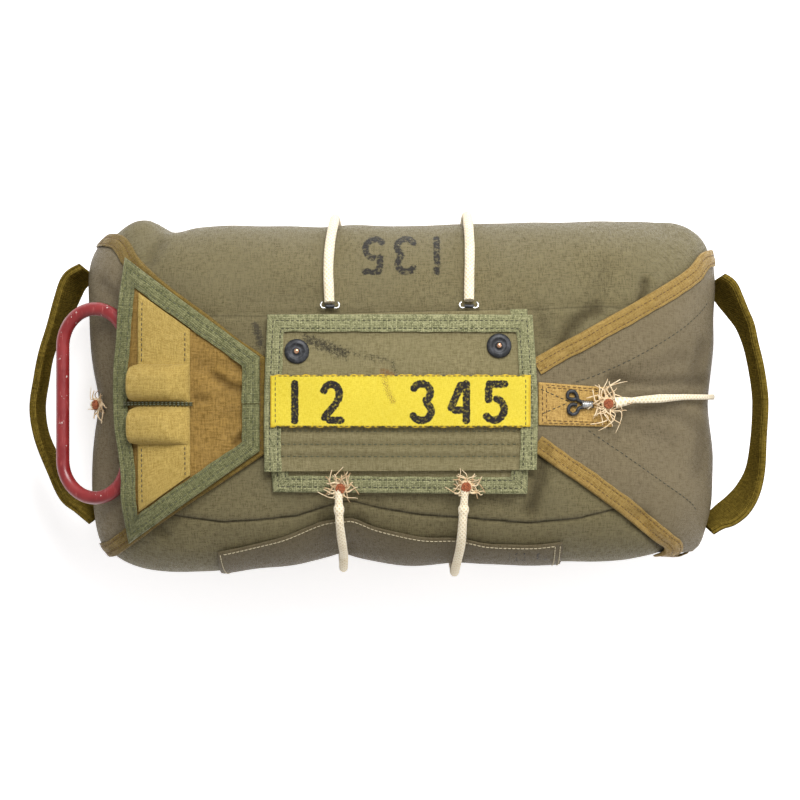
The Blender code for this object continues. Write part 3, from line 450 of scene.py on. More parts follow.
def woven_cloth(
    name, dark, light, faded, threads, slub=0.55, fade=0.5, bump=0.6, seed=0.0, specks=0.12, extra=None
):
    """A woven cloth: its threads from dark to light, faded in patches, darker in its creases."""
    material, tree, shader = new_material(name)
    weave = effect(tree, WEAVE, {0: threads, 1: slub})
    fading = effect(tree, FADING, {1: seed})
    colour = between(tree, weave[1], (*dark, 1.0), (*light, 1.0))
    colour = between(tree, sums(tree, "MULTIPLY", fading[0], fade), colour, (*faded, 1.0))
    colour = between(
        tree,
        sums(tree, "MULTIPLY", fading[1], specks),
        colour,
        (*[min(1.0, 1.7 * c) for c in light], 1.0),
    )
    shade = value_of(tree, "crease_shade")
    colour = between(tree, shade, colour, (0.30, 0.27, 0.24, 1.0), blend="MULTIPLY")
    if extra:
        colour = extra(tree, colour)
    tree.links.new(colour, shader.inputs["Base Color"])
    tree.links.new(band_of(tree, weave[1], 1.6, -0.6), shader.inputs["Roughness"])
    shader.inputs["Specular IOR Level"].default_value = 0.12
    shader.inputs["Sheen Weight"].default_value = 0.04
    shader.inputs["Sheen Roughness"].default_value = 0.5
    fuzz = sums(tree, "MULTIPLY_ADD", weave[1], 0.5, weave[0])
    emboss(tree, shader, fuzz, bump, 0.00035)
    return material


def noise_in(tree, settings):
    """Noise through the whole piece, in its own coordinates."""
    place = wired(tree, "ShaderNodeTexCoord").outputs["Object"]
    return wired(tree, "ShaderNodeTexNoise", {"Vector": place, **settings})


def ink_on(tree, colour, field, ink, worn=0.5, edge=0.0003, grain=600.0):
    """Paint or ink inside the marks that the mesh carries, worn off the tops of the threads."""
    rough = noise_in(tree, {"Scale": grain, "Detail": 3.0})
    ragged = sums(
        tree,
        "MULTIPLY_ADD",
        sums(tree, "SUBTRACT", rough.outputs[0], 0.5),
        edge * 4,
        value_of(tree, field),
    )
    inside = band_of(tree, ragged, edge, -edge)
    kept = band_of(tree, rough.outputs[0], 0.66 + 0.30 * (1 - worn), 0.46)
    return between(tree, sums(tree, "MULTIPLY", inside, kept), colour, (*ink, 1.0))


def blotch_on(tree, colour, field, tint, strength=1.0, grain=900.0):
    """A dark patch that thins out to scattered specks at its edge: the stains, and the painted shadow beside
    the cover.
    """
    rough = noise_in(tree, {"Scale": grain, "Detail": 4.0, "Roughness": 0.75})
    amount = sums(tree, "ADD", value_of(tree, field), sums(tree, "MULTIPLY", rough.outputs[0], 1.1))
    amount = band_of(tree, amount, 0.95, 1.25)
    return between(tree, sums(tree, "MULTIPLY", amount, strength), colour, (*tint, 1.0))


def link_piece(name, mesh, finish, body="pack", slot=None, stands_for=()):
    """Puts a finished mesh in the scene, on its body and in place of its CAD nodes; its slot is not used."""
    piece = bpy.data.objects.new(name, mesh)
    mesh.materials.append(finish)
    scene.collection.objects.link(piece)
    if stands_for:
        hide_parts(*stands_for)
    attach(piece, body)
    return piece


def mesh_of(name, places, faces, corner_uvs, sharp=45):
    """A smooth mesh from its points, its faces and its cloth coordinates at each face corner."""
    mesh = bpy.data.meshes.new(name)
    mesh.from_pydata(np.asarray(places).tolist(), [], faces)
    layer = mesh.uv_layers.new(name="cloth")
    layer.data.foreach_set("uv", np.asarray(corner_uvs, dtype=np.float32).ravel())
    mesh.shade_smooth()
    mesh.set_sharp_from_angle(angle=math.radians(sharp))
    return mesh


def carry(mesh, name, values):
    """Stores a number at each point of a mesh."""
    layer = mesh.attributes.new(name, "FLOAT", "POINT")
    layer.data.foreach_set("value", np.asarray(values, dtype=np.float32))


def strokes_field(points, strokes, half_width):
    """Distance from each point to the edge of the nearest stroke: below zero is inside it."""
    nearest = np.full(len(points), 0.02)
    for line in strokes:
        nearest = np.minimum(nearest, plan_distance(points, line) - half_width)
    return nearest


def arc(centre, radii, start, end, steps=10):
    """Points round part of an oval, angles in degrees."""
    turn = np.radians(np.linspace(start, end, steps))
    return [(centre[0] + radii[0] * math.cos(a), centre[1] + radii[1] * math.sin(a)) for a in turn]


# Plain stencil numerals in a box one unit high, with the gaps that a stencil's bridges leave.
NUMERALS = {
    "0": [arc((0.27, 0.5), (0.22, 0.46), 105, 255), arc((0.27, 0.5), (0.22, 0.46), -75, 75)],
    "1": [[(0.27, 0.04), (0.27, 0.96)]],
    "2": [
        arc((0.27, 0.70), (0.20, 0.25), 160, -35),
        [(0.38, 0.46), (0.10, 0.12)],
        [(0.22, 0.05), (0.50, 0.05)],
    ],
    "3": [arc((0.24, 0.74), (0.22, 0.22), 150, -60), arc((0.24, 0.27), (0.24, 0.23), 55, -150)],
    "4": [[(0.30, 0.92), (0.06, 0.36)], [(0.16, 0.30), (0.30, 0.30)], [(0.44, 0.04), (0.44, 0.96)]],
    "5": [
        [(0.10, 0.95), (0.48, 0.95)],
        [(0.08, 0.82), (0.08, 0.56)],
        arc((0.22, 0.32), (0.25, 0.27), 75, -140),
    ],
    "7": [[(0.04, 0.95), (0.40, 0.95)], [(0.48, 0.84), (0.20, 0.04)]],
}


def written(text, left, bottom, height, pitch, upside_down=False):
    """The strokes of plain numerals set out in a row; a space leaves a gap."""
    strokes = []
    for place, mark in enumerate(text):
        for line in NUMERALS.get(mark, ()):
            across = np.array(line) * height + (place * pitch, 0.0)
            if upside_down:
                across = (len(text) * pitch, height) - across
            strokes.append(across + (left, bottom))
    return strokes


def tray_skin():
    """The tray's points, faces and cloth coordinates: six grids wrapped onto the skin."""
    cells = np.array(TRAY_CELLS)
    corners = []
    for fixed, across, along in ((0, 1, 2), (1, 0, 2), (2, 0, 1)):
        for end in (0, 1):
            if fixed == 2 and end == 0:
                continue
            i, j = np.meshgrid(np.arange(cells[across]), np.arange(cells[along]), indexing="ij")
            face = []
            for step_i, step_j in ((0, 0), (1, 0), (1, 1), (0, 1)):
                corner = np.zeros((i.size, 3), int)
                corner[:, fixed] = end * cells[fixed]
                corner[:, across] = i.ravel() + step_i
                corner[:, along] = j.ravel() + step_j
                face.append(corner)
            flipped = (end == 1) == (fixed == 1)
            face = np.stack(face[::-1] if flipped else face, axis=1)
            corners.append((fixed, face))
    lattice = np.concatenate([face.reshape(-1, 3) for _, face in corners])
    spots, number = np.unique(lattice, axis=0, return_inverse=True)
    half = np.array((PACK_LENGTH, PACK_WIDTH, CROWN_HEIGHT)) / 2
    directions = (2 * spots / cells - 1) * half
    lowest = spots[:, 2] == 0
    directions[lowest, 2] *= 1.5
    directions = directions / np.linalg.norm(directions, axis=1)[:, None]
    centre = np.tile((0.0, 0.0, WIDEST_LEVEL), (len(directions), 1))
    skin = reach_skin(centre, directions, 0.0)
    skin = folded(skin, TRAY_CREASES + FLAP_CREASES)
    skin = skin + outward(skin) * seam_step(skin)[:, None]
    skin[:, 2] = np.maximum(skin[:, 2], 0.0)
    skin[lowest, 2] = 0.0
    faces = number.reshape(-1, 4)
    flat_ways = np.concatenate([np.full(len(face), fixed) for fixed, face in corners])
    on_face = skin[faces]
    planes = {0: (1, 2), 1: (0, 2), 2: (0, 1)}
    uvs = np.zeros((len(faces), 4, 2))
    for fixed, pair in planes.items():
        pick = flat_ways == fixed
        uvs[pick] = on_face[pick][:, :, list(pair)]
    keep = ~np.all(on_face[:, :, 2] < 1e-9, axis=1)
    rim_level = [tuple(edge) for edge in open_edges(faces[keep])]
    base = ring_of(rim_level)
    faces_list = faces[keep].tolist() + [base]
    uvs = np.concatenate([uvs[keep].reshape(-1, 2), skin[base][:, :2]])
    return skin, faces_list, uvs


def open_edges(faces):
    """The edges that only one face has, in that face's direction."""
    pairs = np.concatenate([np.stack([faces[:, k], faces[:, (k + 1) % 4]], axis=1) for k in range(4)])
    known = {}
    for a, b in pairs.tolist():
        known[(a, b)] = True
    return [(a, b) for a, b in known if (b, a) not in known]


def ring_of(edges):
    """The closing face over a ring of open edges."""
    following = {b: a for a, b in edges}
    start = next(iter(following))
    ring = [start]
    while following[ring[-1]] != start:
        ring.append(following[ring[-1]])
    return ring


WALL_MARK = written("135", -0.0290, 0.0750, 0.0225, 0.0190, upside_down=True)


def tray_marks(tree, colour):
    """The seams' shadow lines, worn numerals on the upper wall and a painted shadow beside the cover's left
    edge.
    """
    for field, depth in (("upper_seam", 0.30), ("lower_seam", 0.65)):
        line = band_of(tree, sums(tree, "ABSOLUTE", value_of(tree, field)), 0.0009, 0.0002)
        colour = between(tree, sums(tree, "MULTIPLY", line, depth), colour, (0.020, 0.015, 0.008, 1.0))
    colour = ink_on(tree, colour, "wall_mark", (0.030, 0.027, 0.022), worn=0.7, edge=0.0005, grain=520.0)
    return blotch_on(tree, colour, "cover_side_shadow", (0.030, 0.028, 0.025), strength=0.7)


places, faces, uvs = tray_skin()
tray_mesh = mesh_of("stuffed_tray", places, faces, uvs, sharp=80)
depth = -fold_heights(places, TRAY_CREASES + FLAP_CREASES)
carry(tray_mesh, "crease_shade", np.clip(depth / 0.0034, 0, 1) * 0.75)
on_crown = (places[:, 2] > 0.07) & (np.abs(places[:, 0]) < 0.15)
carry(tray_mesh, "upper_seam", np.where(on_crown, past_line(places, UPPER_SEAM), 0.02))
carry(tray_mesh, "lower_seam", np.where(on_crown, past_line(places, LOWER_SEAM), 0.02))
upper_side = (places[:, 2] > 0.08) & (places[:, 1] > 0)
carry(tray_mesh, "wall_mark", np.where(upper_side, strokes_field(places, WALL_MARK, 0.0019), 0.02))
# Painted shadow of the raised cover, darkening the tray beside its left edge.
cover_side_shade = 0.72 * close_to(places, ((-0.0850, 0.0440), (-0.0825, 0.0330)), 0.0040)
carry(tray_mesh, "cover_side_shadow", cover_side_shade * (places[:, 2] > 0.1))
tray_canvas = woven_cloth(
    "tray_canvas",
    dark=(0.092, 0.075, 0.036),
    light=(0.210, 0.176, 0.086),
    faded=(0.168, 0.145, 0.078),
    threads=1500.0,
    extra=tray_marks,
)
tray = link_piece("stuffed_tray", tray_mesh, tray_canvas, slot="pack_canvas", stands_for=["pack_body"])


# The end flaps: canvas drawn down over both ends of the tray, with ochre tape sewn
# over their long edges and tips in two rows of stitching.
AIR = 0.0010
CANVAS = 0.0010
TAPE_PLY = 0.0008
TAPE_WIDTH = 0.0085
PLY_AIR = 0.0006
BOUND_EDGE = CANVAS + PLY_AIR + TAPE_PLY
OVER_BOUND = AIR + BOUND_EDGE + PLY_AIR
AXIS_IN = 0.050
RIGHT_END_EDGES = (
    # turn, lower edge, upper edge
    (69.5, -0.0280, 0.0225),
    (58.5, -0.0400, 0.0322),
    (50.5, -0.0490, 0.0395),
    (39.0, -0.0640, 0.0523),
    (25.5, -0.0825, 0.0685),
    (18.5, -0.0890, 0.0778),
    (12.0, -0.0938, 0.0868),
    (4.0, -0.0946, 0.0900),
    (-2.0, -0.0942, 0.0905),
)
LEFT_END_EDGES = (
    # turn, lower edge, upper edge
    (68.5, -0.0300, 0.0240),
    (58.0, -0.0405, 0.0350),
    (48.5, -0.0510, 0.0478),
    (36.5, -0.0660, 0.0645),
    (26.0, -0.0805, 0.0812),
    (19.0, -0.0885, 0.0930),
    (13.5, -0.0922, 0.0978),
    (4.0, -0.0930, 0.0985),
    (-2.0, -0.0925, 0.0980),
)


def on_top(x, y):
    """Points of the skin straight over places in the plan."""
    x, y = np.broadcast_arrays(np.asarray(x, float), np.asarray(y, float))
    origins = np.stack([x.ravel(), y.ravel(), np.full(x.size, WIDEST_LEVEL)], axis=1)
    return reach_skin(origins, np.tile((0.0, 0.0, 1.0), (x.size, 1)), 0.0).reshape(*x.shape, 3)


def on_end(side, turn, y):
    """Points of the skin over and down one end, at an angle and a place across the pack."""
    turn, y = np.broadcast_arrays(np.radians(turn), np.asarray(y, float))
    turn, across = turn.ravel(), y.ravel()
    level = np.full(y.size, WIDEST_LEVEL)
    origins = np.stack([np.full(y.size, side * AXIS_IN), across, level], axis=1)
    directions = np.stack([side * np.cos(turn), 0 * turn, np.sin(turn)], axis=1)
    return reach_skin(origins, directions, 0.0).reshape(*y.shape, 3)


def on_side(side, x, turn):
    """Points of the skin over and down the upper (1) or lower (-1) wall."""
    x, turn = np.broadcast_arrays(np.asarray(x, float), np.radians(turn))
    origins = np.stack([x.ravel(), 0 * x.ravel(), np.full(x.size, WIDEST_LEVEL)], axis=1)
    turn = turn.ravel()
    directions = np.stack([0 * turn, side * np.cos(turn), np.sin(turn)], axis=1)
    return reach_skin(origins, directions, 0.0).reshape(*x.shape, 3)


def run_of(points):
    """Length along a line at each of its points."""
    steps = np.linalg.norm(np.diff(points, axis=0), axis=1)
    return np.concatenate([[0.0], np.cumsum(steps)])


def resampled(points, step):
    """The same line with even points about a step apart."""
    points = np.asarray(points, float)
    run = run_of(points)
    marks = np.linspace(0, run[-1], max(2, round(run[-1] / step) + 1))
    return np.stack([np.interp(marks, run, points[:, k]) for k in range(points.shape[1])], axis=1)


def smooth_line(points, step):
    """A soft curve through points, with even points about a step apart."""
    points = np.asarray(points, float)
    ends = np.vstack([2 * points[0] - points[1], points, 2 * points[-1] - points[-2]])
    line = []
    t = np.linspace(0, 1, 12, endpoint=False)[:, None]
    for a, b, c, d in zip(ends[:-3], ends[1:-2], ends[2:-1], ends[3:]):
        bend = 2 * a - 5 * b + 4 * c - d
        turn = 3 * b - a - 3 * c + d
        line.append(0.5 * (2 * b + (c - a) * t + bend * t**2 + turn * t**3))
    return resampled(np.vstack([*line, points[-1:]]), step)


def sheet_of(name, base, lift, thickness, finish, shape=None, rim=0.55, **link):
    """Cloth over a grid of places on the skin, with softly rounded edges; shape moves each layer."""
    rows, columns = base.shape[:2]
    lifts = np.broadcast_to(np.asarray(lift, float), (rows, columns)).ravel()
    full = np.full((rows, columns), thickness)
    full[[0, -1], :] *= rim
    full[:, [0, -1]] *= rim
    layers = []
    for height in (lifts, lifts + full.ravel()):
        layer = settle(base.reshape(-1, 3), height)
        layers.append(shape(layer) if shape else layer)
    count = rows * columns
    number = np.arange(count).reshape(rows, columns)
    cell = np.stack(
        [number[:-1, :-1], number[1:, :-1], number[1:, 1:], number[:-1, 1:]], axis=-1
    ).reshape(-1, 4)
    rim_line = np.concatenate([number[:, 0], number[-1, 1:], number[-2::-1, -1], number[0, -2:0:-1]])
    after = np.roll(rim_line, -1)
    walls = np.stack([after, rim_line, count + rim_line, count + after], axis=1)
    top = layers[1].reshape(rows, columns, 3)
    down = np.linalg.norm(np.diff(top, axis=0), axis=2)
    over = np.linalg.norm(np.diff(top, axis=1), axis=2)
    v = np.vstack(
        [np.zeros(columns), np.cumsum(np.repeat(down.mean(axis=1)[:, None], columns, axis=1), axis=0)]
    )
    u = np.hstack([np.zeros((rows, 1)), np.cumsum(over, axis=1)])
    u = u - u[:, -1:] / 2
    flat = np.stack([u, v], axis=-1).reshape(-1, 2)
    flat = np.vstack([flat, flat])
    lower, upper = cell, count + cell[:, ::-1]
    middle = base[rows // 2, columns // 2][None]
    first = cell[len(cell) // 2]
    edge_a = layers[1][first[1]] - layers[1][first[0]]
    edge_b = layers[1][first[3]] - layers[1][first[0]]
    if np.cross(edge_a, edge_b) @ outward(middle)[0] > 0:
        lower, upper, walls = lower[:, ::-1], upper[:, ::-1], walls[:, ::-1]
    faces = np.vstack([lower, upper, walls])
    places = np.vstack(layers)
    mesh = mesh_of(name, places, faces.tolist(), flat[faces.ravel()])
    piece = link_piece(name, mesh, finish, **link)
    a, b, c, d = (top[:-1, :-1], top[1:, :-1], top[1:, 1:], top[:-1, 1:])
    area = np.linalg.norm(np.cross(c - a, d - b), axis=2).sum() / 2
    wide = float(over.sum(axis=1).max())
    long = float(down.sum(axis=0).max())
    return piece, (wide, long), float(min(area, wide * long))


def mitred(base, inward, clear=TAPE_WIDTH):
    """A bound edge's stations and the way in from it, mitred at corners."""
    keep = np.ones(len(base), bool)
    steps = np.diff(base, axis=0)
    steps = steps / np.linalg.norm(steps, axis=1)[:, None]
    for k in range(1, len(base) - 1):
        bend = math.acos(np.clip(steps[k - 1] @ steps[k], -1, 1))
        if bend > math.radians(25):
            reach = clear * math.tan(bend / 2) + 0.0012
            near = np.linalg.norm(base - base[k], axis=1) < reach
            near[[0, k, len(base) - 1]] = False
            keep &= ~near
    base = base[keep]
    ahead = np.diff(base, axis=0)
    ahead = ahead / np.linalg.norm(ahead, axis=1)[:, None]
    up = outward(base)
    before = inward * np.cross(up, np.vstack([ahead[:1], ahead]))
    after = inward * np.cross(up, np.vstack([ahead, ahead[-1:]]))
    before = before / np.linalg.norm(before, axis=1)[:, None]
    after = after / np.linalg.norm(after, axis=1)[:, None]
    return base, (before + after) / (1 + np.sum(before * after, axis=1))[:, None]


# Tape folded over an edge: its lip down the edge, its ply on the sheet, pulled down at two
# rows of stitching.
TAPE_SECTION = (
    # offset from the edge, height over the sheet's underside
    (-0.0013, 0.0001),
    (-0.0005, 0.0000),
    (-0.0005, 0.0016),
    (0.0040, 0.0016),
    (0.0084, 0.0016),
    (0.0086, 0.0020),
    (0.0082, 0.0023),
    (0.0074, 0.0023),
    (0.0067, 0.0021),
    (0.0060, 0.0024),
    (0.0045, 0.0025),
    (0.0030, 0.0024),
    (0.0021, 0.0021),
    (0.0013, 0.0024),
    (0.0002, 0.0025),
    (-0.0008, 0.0023),
    (-0.0014, 0.0017),
    (-0.0016, 0.0008),
)
TAPE_ROWS = (0.0021, 0.0067)
TAPE_STITCH_LEVEL = 0.0021


def ring_cells(stations, sides):
    """The four-cornered faces between neighbouring rings of a tube, as point numbers."""
    i, k = np.meshgrid(np.arange(stations - 1), np.arange(sides), indexing="ij")
    i, k = i.ravel(), k.ravel()
    other = (k + 1) % sides
    return np.stack(
        [i * sides + k, i * sides + other, (i + 1) * sides + other, (i + 1) * sides + k], axis=1
    )


def rings_mesh(name, rings, closed=False, sharp=60):
    """A mesh skinned over rings along a line, with its cloth coordinates round and along."""
    rings = np.asarray(rings, float)
    stations, sides = rings.shape[:2]
    i = np.arange(stations if closed else stations - 1)
    k = np.arange(sides)
    i, k = np.meshgrid(i, k, indexing="ij")
    i, k = i.ravel(), k.ravel()
    after, other = (i + 1) % stations, (k + 1) % sides
    faces = np.stack([i * sides + k, i * sides + other, after * sides + other, after * sides + k], axis=1)
    girth = run_of(np.vstack([rings[stations // 2], rings[stations // 2][:1]]))
    along = run_of(np.vstack([rings.mean(axis=1), rings.mean(axis=1)[:1]]))
    uvs = np.stack(
        [
            np.stack([girth[k], girth[k + 1], girth[k + 1], girth[k]], axis=1),
            np.stack([along[i], along[i], along[i + 1], along[i + 1]], axis=1),
        ],
        axis=-1,
    ).reshape(-1, 2)
    corner = rings.reshape(-1, 3)[faces]
    volume = (corner[:, 0] * np.cross(corner[:, 1], corner[:, 2])).sum()
    if volume < 0:
        faces = faces[:, ::-1]
        uvs = uvs.reshape(-1, 4, 2)[:, ::-1].reshape(-1, 2)
    face_list = faces.tolist()
    if not closed:
        first, last = list(range(sides)), list(range((stations - 1) * sides, stations * sides))
        ends = (first, last[::-1]) if volume < 0 else (first[::-1], last)
        for end in ends:
            face_list.append(end)
            uvs = np.vstack([uvs, np.stack([girth[:-1], np.zeros(sides)], axis=1)])
    return mesh_of(name, rings.reshape(-1, 3), face_list, uvs, sharp=sharp)


def tape_of(name, base, lift, inward, finish, shape=None, **link):
    """Tape bound over an edge. Gives the piece and the lines of its two rows of stitching."""
    base, across = mitred(base, inward)
    run = run_of(base)
    sway = 0.00016 * np.sin(run * 210 + 1.0) + 0.00012 * np.sin(run * 530)
    columns = []
    for offset, height in TAPE_SECTION:
        ease = np.where(offset > 0.001, sway, 0.0)
        places = settle(base + across * (offset + ease)[:, None], lift + height)
        columns.append(shape(places) if shape else places)
    piece = link_piece(name, rings_mesh(name, np.stack(columns, axis=1)), finish, **link)
    rows = []
    for offset in TAPE_ROWS:
        places = settle(base + across * offset, lift + TAPE_STITCH_LEVEL)
        rows.append(shape(places) if shape else places)
    return piece, rows


def stitching(name, rows, finish, radius=0.00027, pitch=0.0032, gap=0.0009):
    """Rows of stitches: each a short thread that rises from the cloth and dives back into it."""
    shares = np.array((0.0, 0.12, 0.35, 0.65, 0.88, 1.0))
    swell = np.array((0.35, 0.85, 1.0, 1.0, 0.85, 0.35))
    rise = np.array((-0.8, 0.1, 0.7, 0.7, 0.1, -0.8))
    sides = 6
    turn = 2 * math.pi * np.arange(sides) / sides
    all_places = []
    all_faces = []
    all_caps = []
    count = 0
    for row in rows:
        run = run_of(row)
        starts = np.arange(0.0004, run[-1] - pitch + gap, pitch)
        marks = starts[:, None] + shares * (pitch - gap)
        spots = np.stack([np.interp(marks, run, row[:, k]) for k in range(3)], axis=-1)
        flat = spots.reshape(-1, 3)
        up = outward(flat).reshape(spots.shape)
        way = spots[:, -1:] - spots[:, :1]
        way = way / np.linalg.norm(way, axis=2)[..., None]
        side = np.cross(np.broadcast_to(way, spots.shape), up)
        side = side / np.linalg.norm(side, axis=2)[..., None]
        spots = spots + up * (rise * radius)[None, :, None]
        size = (swell * radius)[None, :, None, None]
        round_way = side[:, :, None] * np.cos(turn)[:, None] + up[:, :, None] * np.sin(turn)[:, None]
        rings = spots[:, :, None] + size * round_way
        stitches = len(starts)
        each = len(shares) * sides
        offset = count + each * np.arange(stitches)
        all_faces += (offset[:, None, None] + ring_cells(len(shares), sides)).reshape(-1, 4).tolist()
        for start in offset.tolist():
            all_caps.append(list(range(start, start + sides))[::-1])
            all_caps.append(list(range(start + each - sides, start + each)))
        all_places.append(rings.reshape(-1, 3))
        count += stitches * each
    face_list = all_faces + all_caps
    places = np.vstack(all_places)
    uvs = places[[corner for face in face_list for corner in face]][:, :2]
    return link_piece(name, mesh_of(name, places, face_list, uvs, sharp=180), finish)


def sewing_thread(name, colour, pale):
    """Twisted thread: fine turns of light and dark, a little waxy."""
    material, tree, shader = new_material(name)
    place = wired(tree, "ShaderNodeTexCoord").outputs["Object"]
    twist = wired(
        tree,
        "ShaderNodeTexWave",
        {"Vector": place, "Scale": 900.0, "Distortion": 2.0},
        bands_direction="DIAGONAL",
    )
    wear = wired(tree, "ShaderNodeTexNoise", {"Vector": place, "Scale": 120.0, "Detail": 3.0})
    worn = sums(tree, "MULTIPLY", wear.outputs[0], 0.6)
    shade = sums(tree, "MULTIPLY_ADD", twist.outputs[1], 0.4, worn)
    tree.links.new(between(tree, shade, (*colour, 1.0), (*pale, 1.0)), shader.inputs["Base Color"])
    tree.links.new(band_of(tree, wear.outputs[0], -0.5, 1.4), shader.inputs["Roughness"])
    emboss(tree, shader, twist.outputs[1], 0.4, 0.0001)
    return material


def drawn_in(points):
    """The end flaps share the tray's creases and have their own."""
    return folded(points, TRAY_CREASES + FLAP_CREASES)


flap_canvas = woven_cloth(
    "end_flap_canvas",
    dark=(0.115, 0.090, 0.050),
    light=(0.225, 0.182, 0.108),
    faded=(0.190, 0.152, 0.086),
    threads=1500.0,
    seed=3.0,
)
ochre_tape = woven_cloth(
    "ochre_tape",
    dark=(0.240, 0.140, 0.034),
    light=(0.440, 0.290, 0.085),
    faded=(0.250, 0.175, 0.055),
    threads=1150.0,
    seed=5.0,
    bump=0.8,
)
# The left end's tape: the same ochre tape, coloured darker and more olive than the right end's.
olive_ochre_tape = woven_cloth(
    "left_end_ochre_tape",
    dark=(0.110, 0.070, 0.014),
    light=(0.260, 0.170, 0.036),
    faded=(0.160, 0.112, 0.030),
    threads=1150.0,
    seed=6.0,
    bump=0.8,
)
ochre_thread = sewing_thread("ochre_thread", (0.060, 0.030, 0.006), (0.200, 0.110, 0.030))
dark_thread = sewing_thread("dark_thread", (0.016, 0.015, 0.009), (0.065, 0.060, 0.034))
FLAP_COLUMNS = 60
RIGHT_FACING_ROWS = (
    (
        (0.1030, 0.0105),
        (0.1068, 0.0118),
        (0.1158, 0.0148),
        (0.1394, 0.0255),
        (0.1632, 0.0394),
        (0.1780, 0.0510),
        (0.1850, 0.0590),
    ),
    ((0.1104, -0.0177), (0.1334, -0.0332), (0.1550, -0.0483), (0.1732, -0.0613), (0.1780, -0.0676)),
)


def end_flap(name, side, table, tape, tape_thread):
    """One end flap with its tape and the tape's two rows of stitching."""
    table = np.array(table)
    edges = smooth_line(table * (1, 1000, 1000), 1.6) / (1, 1000, 1000)
    share = np.linspace(0, 1, FLAP_COLUMNS + 1)
    y = edges[:, 1:2] + (edges[:, 2:3] - edges[:, 1:2]) * share
    base = on_end(side, edges[:, :1], y)
    cloth = sheet_of(
        name + "_flap_cloth",
        base,
        AIR,
        CANVAS,
        flap_canvas,
        drawn_in,
        1.0,
        slot="end_flap_canvas",
        stands_for=[name + "_flap"],
    )
    depth = -fold_heights(np.array([v.co for v in cloth[0].data.vertices]), TRAY_CREASES + FLAP_CREASES)
    carry(cloth[0].data, "crease_shade", np.clip(depth / 0.0026, 0, 1) * 0.7)
    up_run = smooth_line([(row[0], row[1] * 1000) for row in table[::-1]], 1.8)
    down_run = smooth_line([(row[0], row[2] * 1000) for row in table], 1.8)
    tip = resampled([up_run[-1], down_run[0]], 1.8)
    line = np.vstack([up_run, tip[1:-1], down_run])
    lengths = [line] if side < 0 else [up_run, down_run]
    bound = []
    rows = []
    for number, length in enumerate(lengths):
        edge = on_end(side, length[:, 0], length[:, 1] / 1000)
        piece, sewn_rows = tape_of(
            f"{name}_tape_{number + 1}",
            edge,
            AIR,
            -side,
            tape,
            drawn_in,
            slot="ochre_tape",
            stands_for=[name + "_binding"],
        )
        bound.append(piece)
        rows += sewn_rows
    sewn = stitching(name + "_tape_stitches", rows, tape_thread, pitch=0.0030)
    return cloth, bound, sewn


(right_cloth, right_flat, right_area), right_tape, right_sewn = end_flap(
    "right_end", 1, RIGHT_END_EDGES, ochre_tape, ochre_thread
)
(left_cloth, left_flat, left_area), left_tape, left_sewn = end_flap(
    "left_end", -1, LEFT_END_EDGES, olive_ochre_tape, ochre_thread
)
facing_rows = []
for line in RIGHT_FACING_ROWS:
    plan = smooth_line(line, 0.002)
    facing_rows.append(drawn_in(settle(on_top(plan[:, 0], plan[:, 1]), AIR + CANVAS)))
facing_sewn = stitching("right_end_facing_stitches", facing_rows, dark_thread, pitch=0.0034, gap=0.0012)


# The ochre piece that stiffens the right end flap round its hook: canvas with turned
# edges, sewn down round its rim and across with a cross.
PATCH_CORNERS = ((0.0812, -0.0147), (0.1245, -0.0160), (0.1215, 0.0075), (0.0812, 0.0105))
PATCH_CLOTH = 0.0010
PATCH_LIFT = AIR + CANVAS + PLY_AIR
PATCH_CELLS = (34, 24)
patch_canvas = woven_cloth(
    "ochre_canvas",
    dark=(0.300, 0.170, 0.045),
    light=(0.600, 0.390, 0.125),
    faded=(0.400, 0.260, 0.082),
    threads=1300.0,
    seed=8.0,
)


def respaced(line, count):
    """A line in plan with that many even points."""
    share = np.linspace(0, 1, count)
    own_share = np.linspace(0, 1, len(line))
    return np.stack([np.interp(share, own_share, line[:, k]) for k in (0, 1)], axis=1)


def corner_grid(corners, cells, edge=0.0006):
    """Places on the skin over a four-cornered piece, with close rows at its edges for their rounding."""
    low_left, low_right, high_right, high_left = (np.array(c) for c in corners)
    shares = []
    for count, side in zip(cells, (low_right - low_left, high_left - low_left)):
        near = edge / np.linalg.norm(side)
        shares.append(np.concatenate([[0.0], np.linspace(near, 1 - near, count), [1.0]]))
    s, t = np.meshgrid(*shares, indexing="ij")
    s, t = s[..., None], t[..., None]
    low = (1 - s) * (1 - t) * low_left + s * (1 - t) * low_right
    plan = low + s * t * high_right + (1 - s) * t * high_left
    return on_top(plan[..., 0], plan[..., 1])


def inset_loop(corners, inset):
    """A line round a four-cornered piece, that far inside its edges."""
    corners = np.array(corners, float)
    middle = corners.mean(axis=0)
    reach = np.linalg.norm(corners - middle, axis=1)[:, None]
    pulled = middle + (corners - middle) * (1 - 1.35 * inset / reach)
    return [resampled(pulled[[k, (k + 1) % 4]], 0.002) for k in range(4)]


def on_piece(lines, lift, shape=None):
    """Lines of the plan laid at a height over the skin."""
    laid = []
    for line in lines:
        places = settle(on_top(line[:, 0], line[:, 1]), lift)
        laid.append(shape(places) if shape else places)
    return laid


patch_cloth, patch_flat, patch_area = sheet_of(
    "end_patch_cloth",
    corner_grid(PATCH_CORNERS, PATCH_CELLS),
    PATCH_LIFT,
    PATCH_CLOTH,
    patch_canvas,
    slot="ochre_patch",
    stands_for=["end_patch"],
)
cross = [
    resampled(((0.0820, 0.0066), (0.0995, -0.0012)), 0.002),
    resampled(((0.0830, -0.0082), (0.0995, -0.0012)), 0.002),
]
patch_lines = on_piece(
    inset_loop(PATCH_CORNERS, 0.0020) + inset_loop(PATCH_CORNERS, 0.0040) + cross,
    PATCH_LIFT + PATCH_CLOTH,
)
patch_sewn = stitching("end_patch_stitches", patch_lines[:8], ochre_thread)
cross_sewn = stitching("end_patch_cross_stitches", patch_lines[8:], dark_thread)


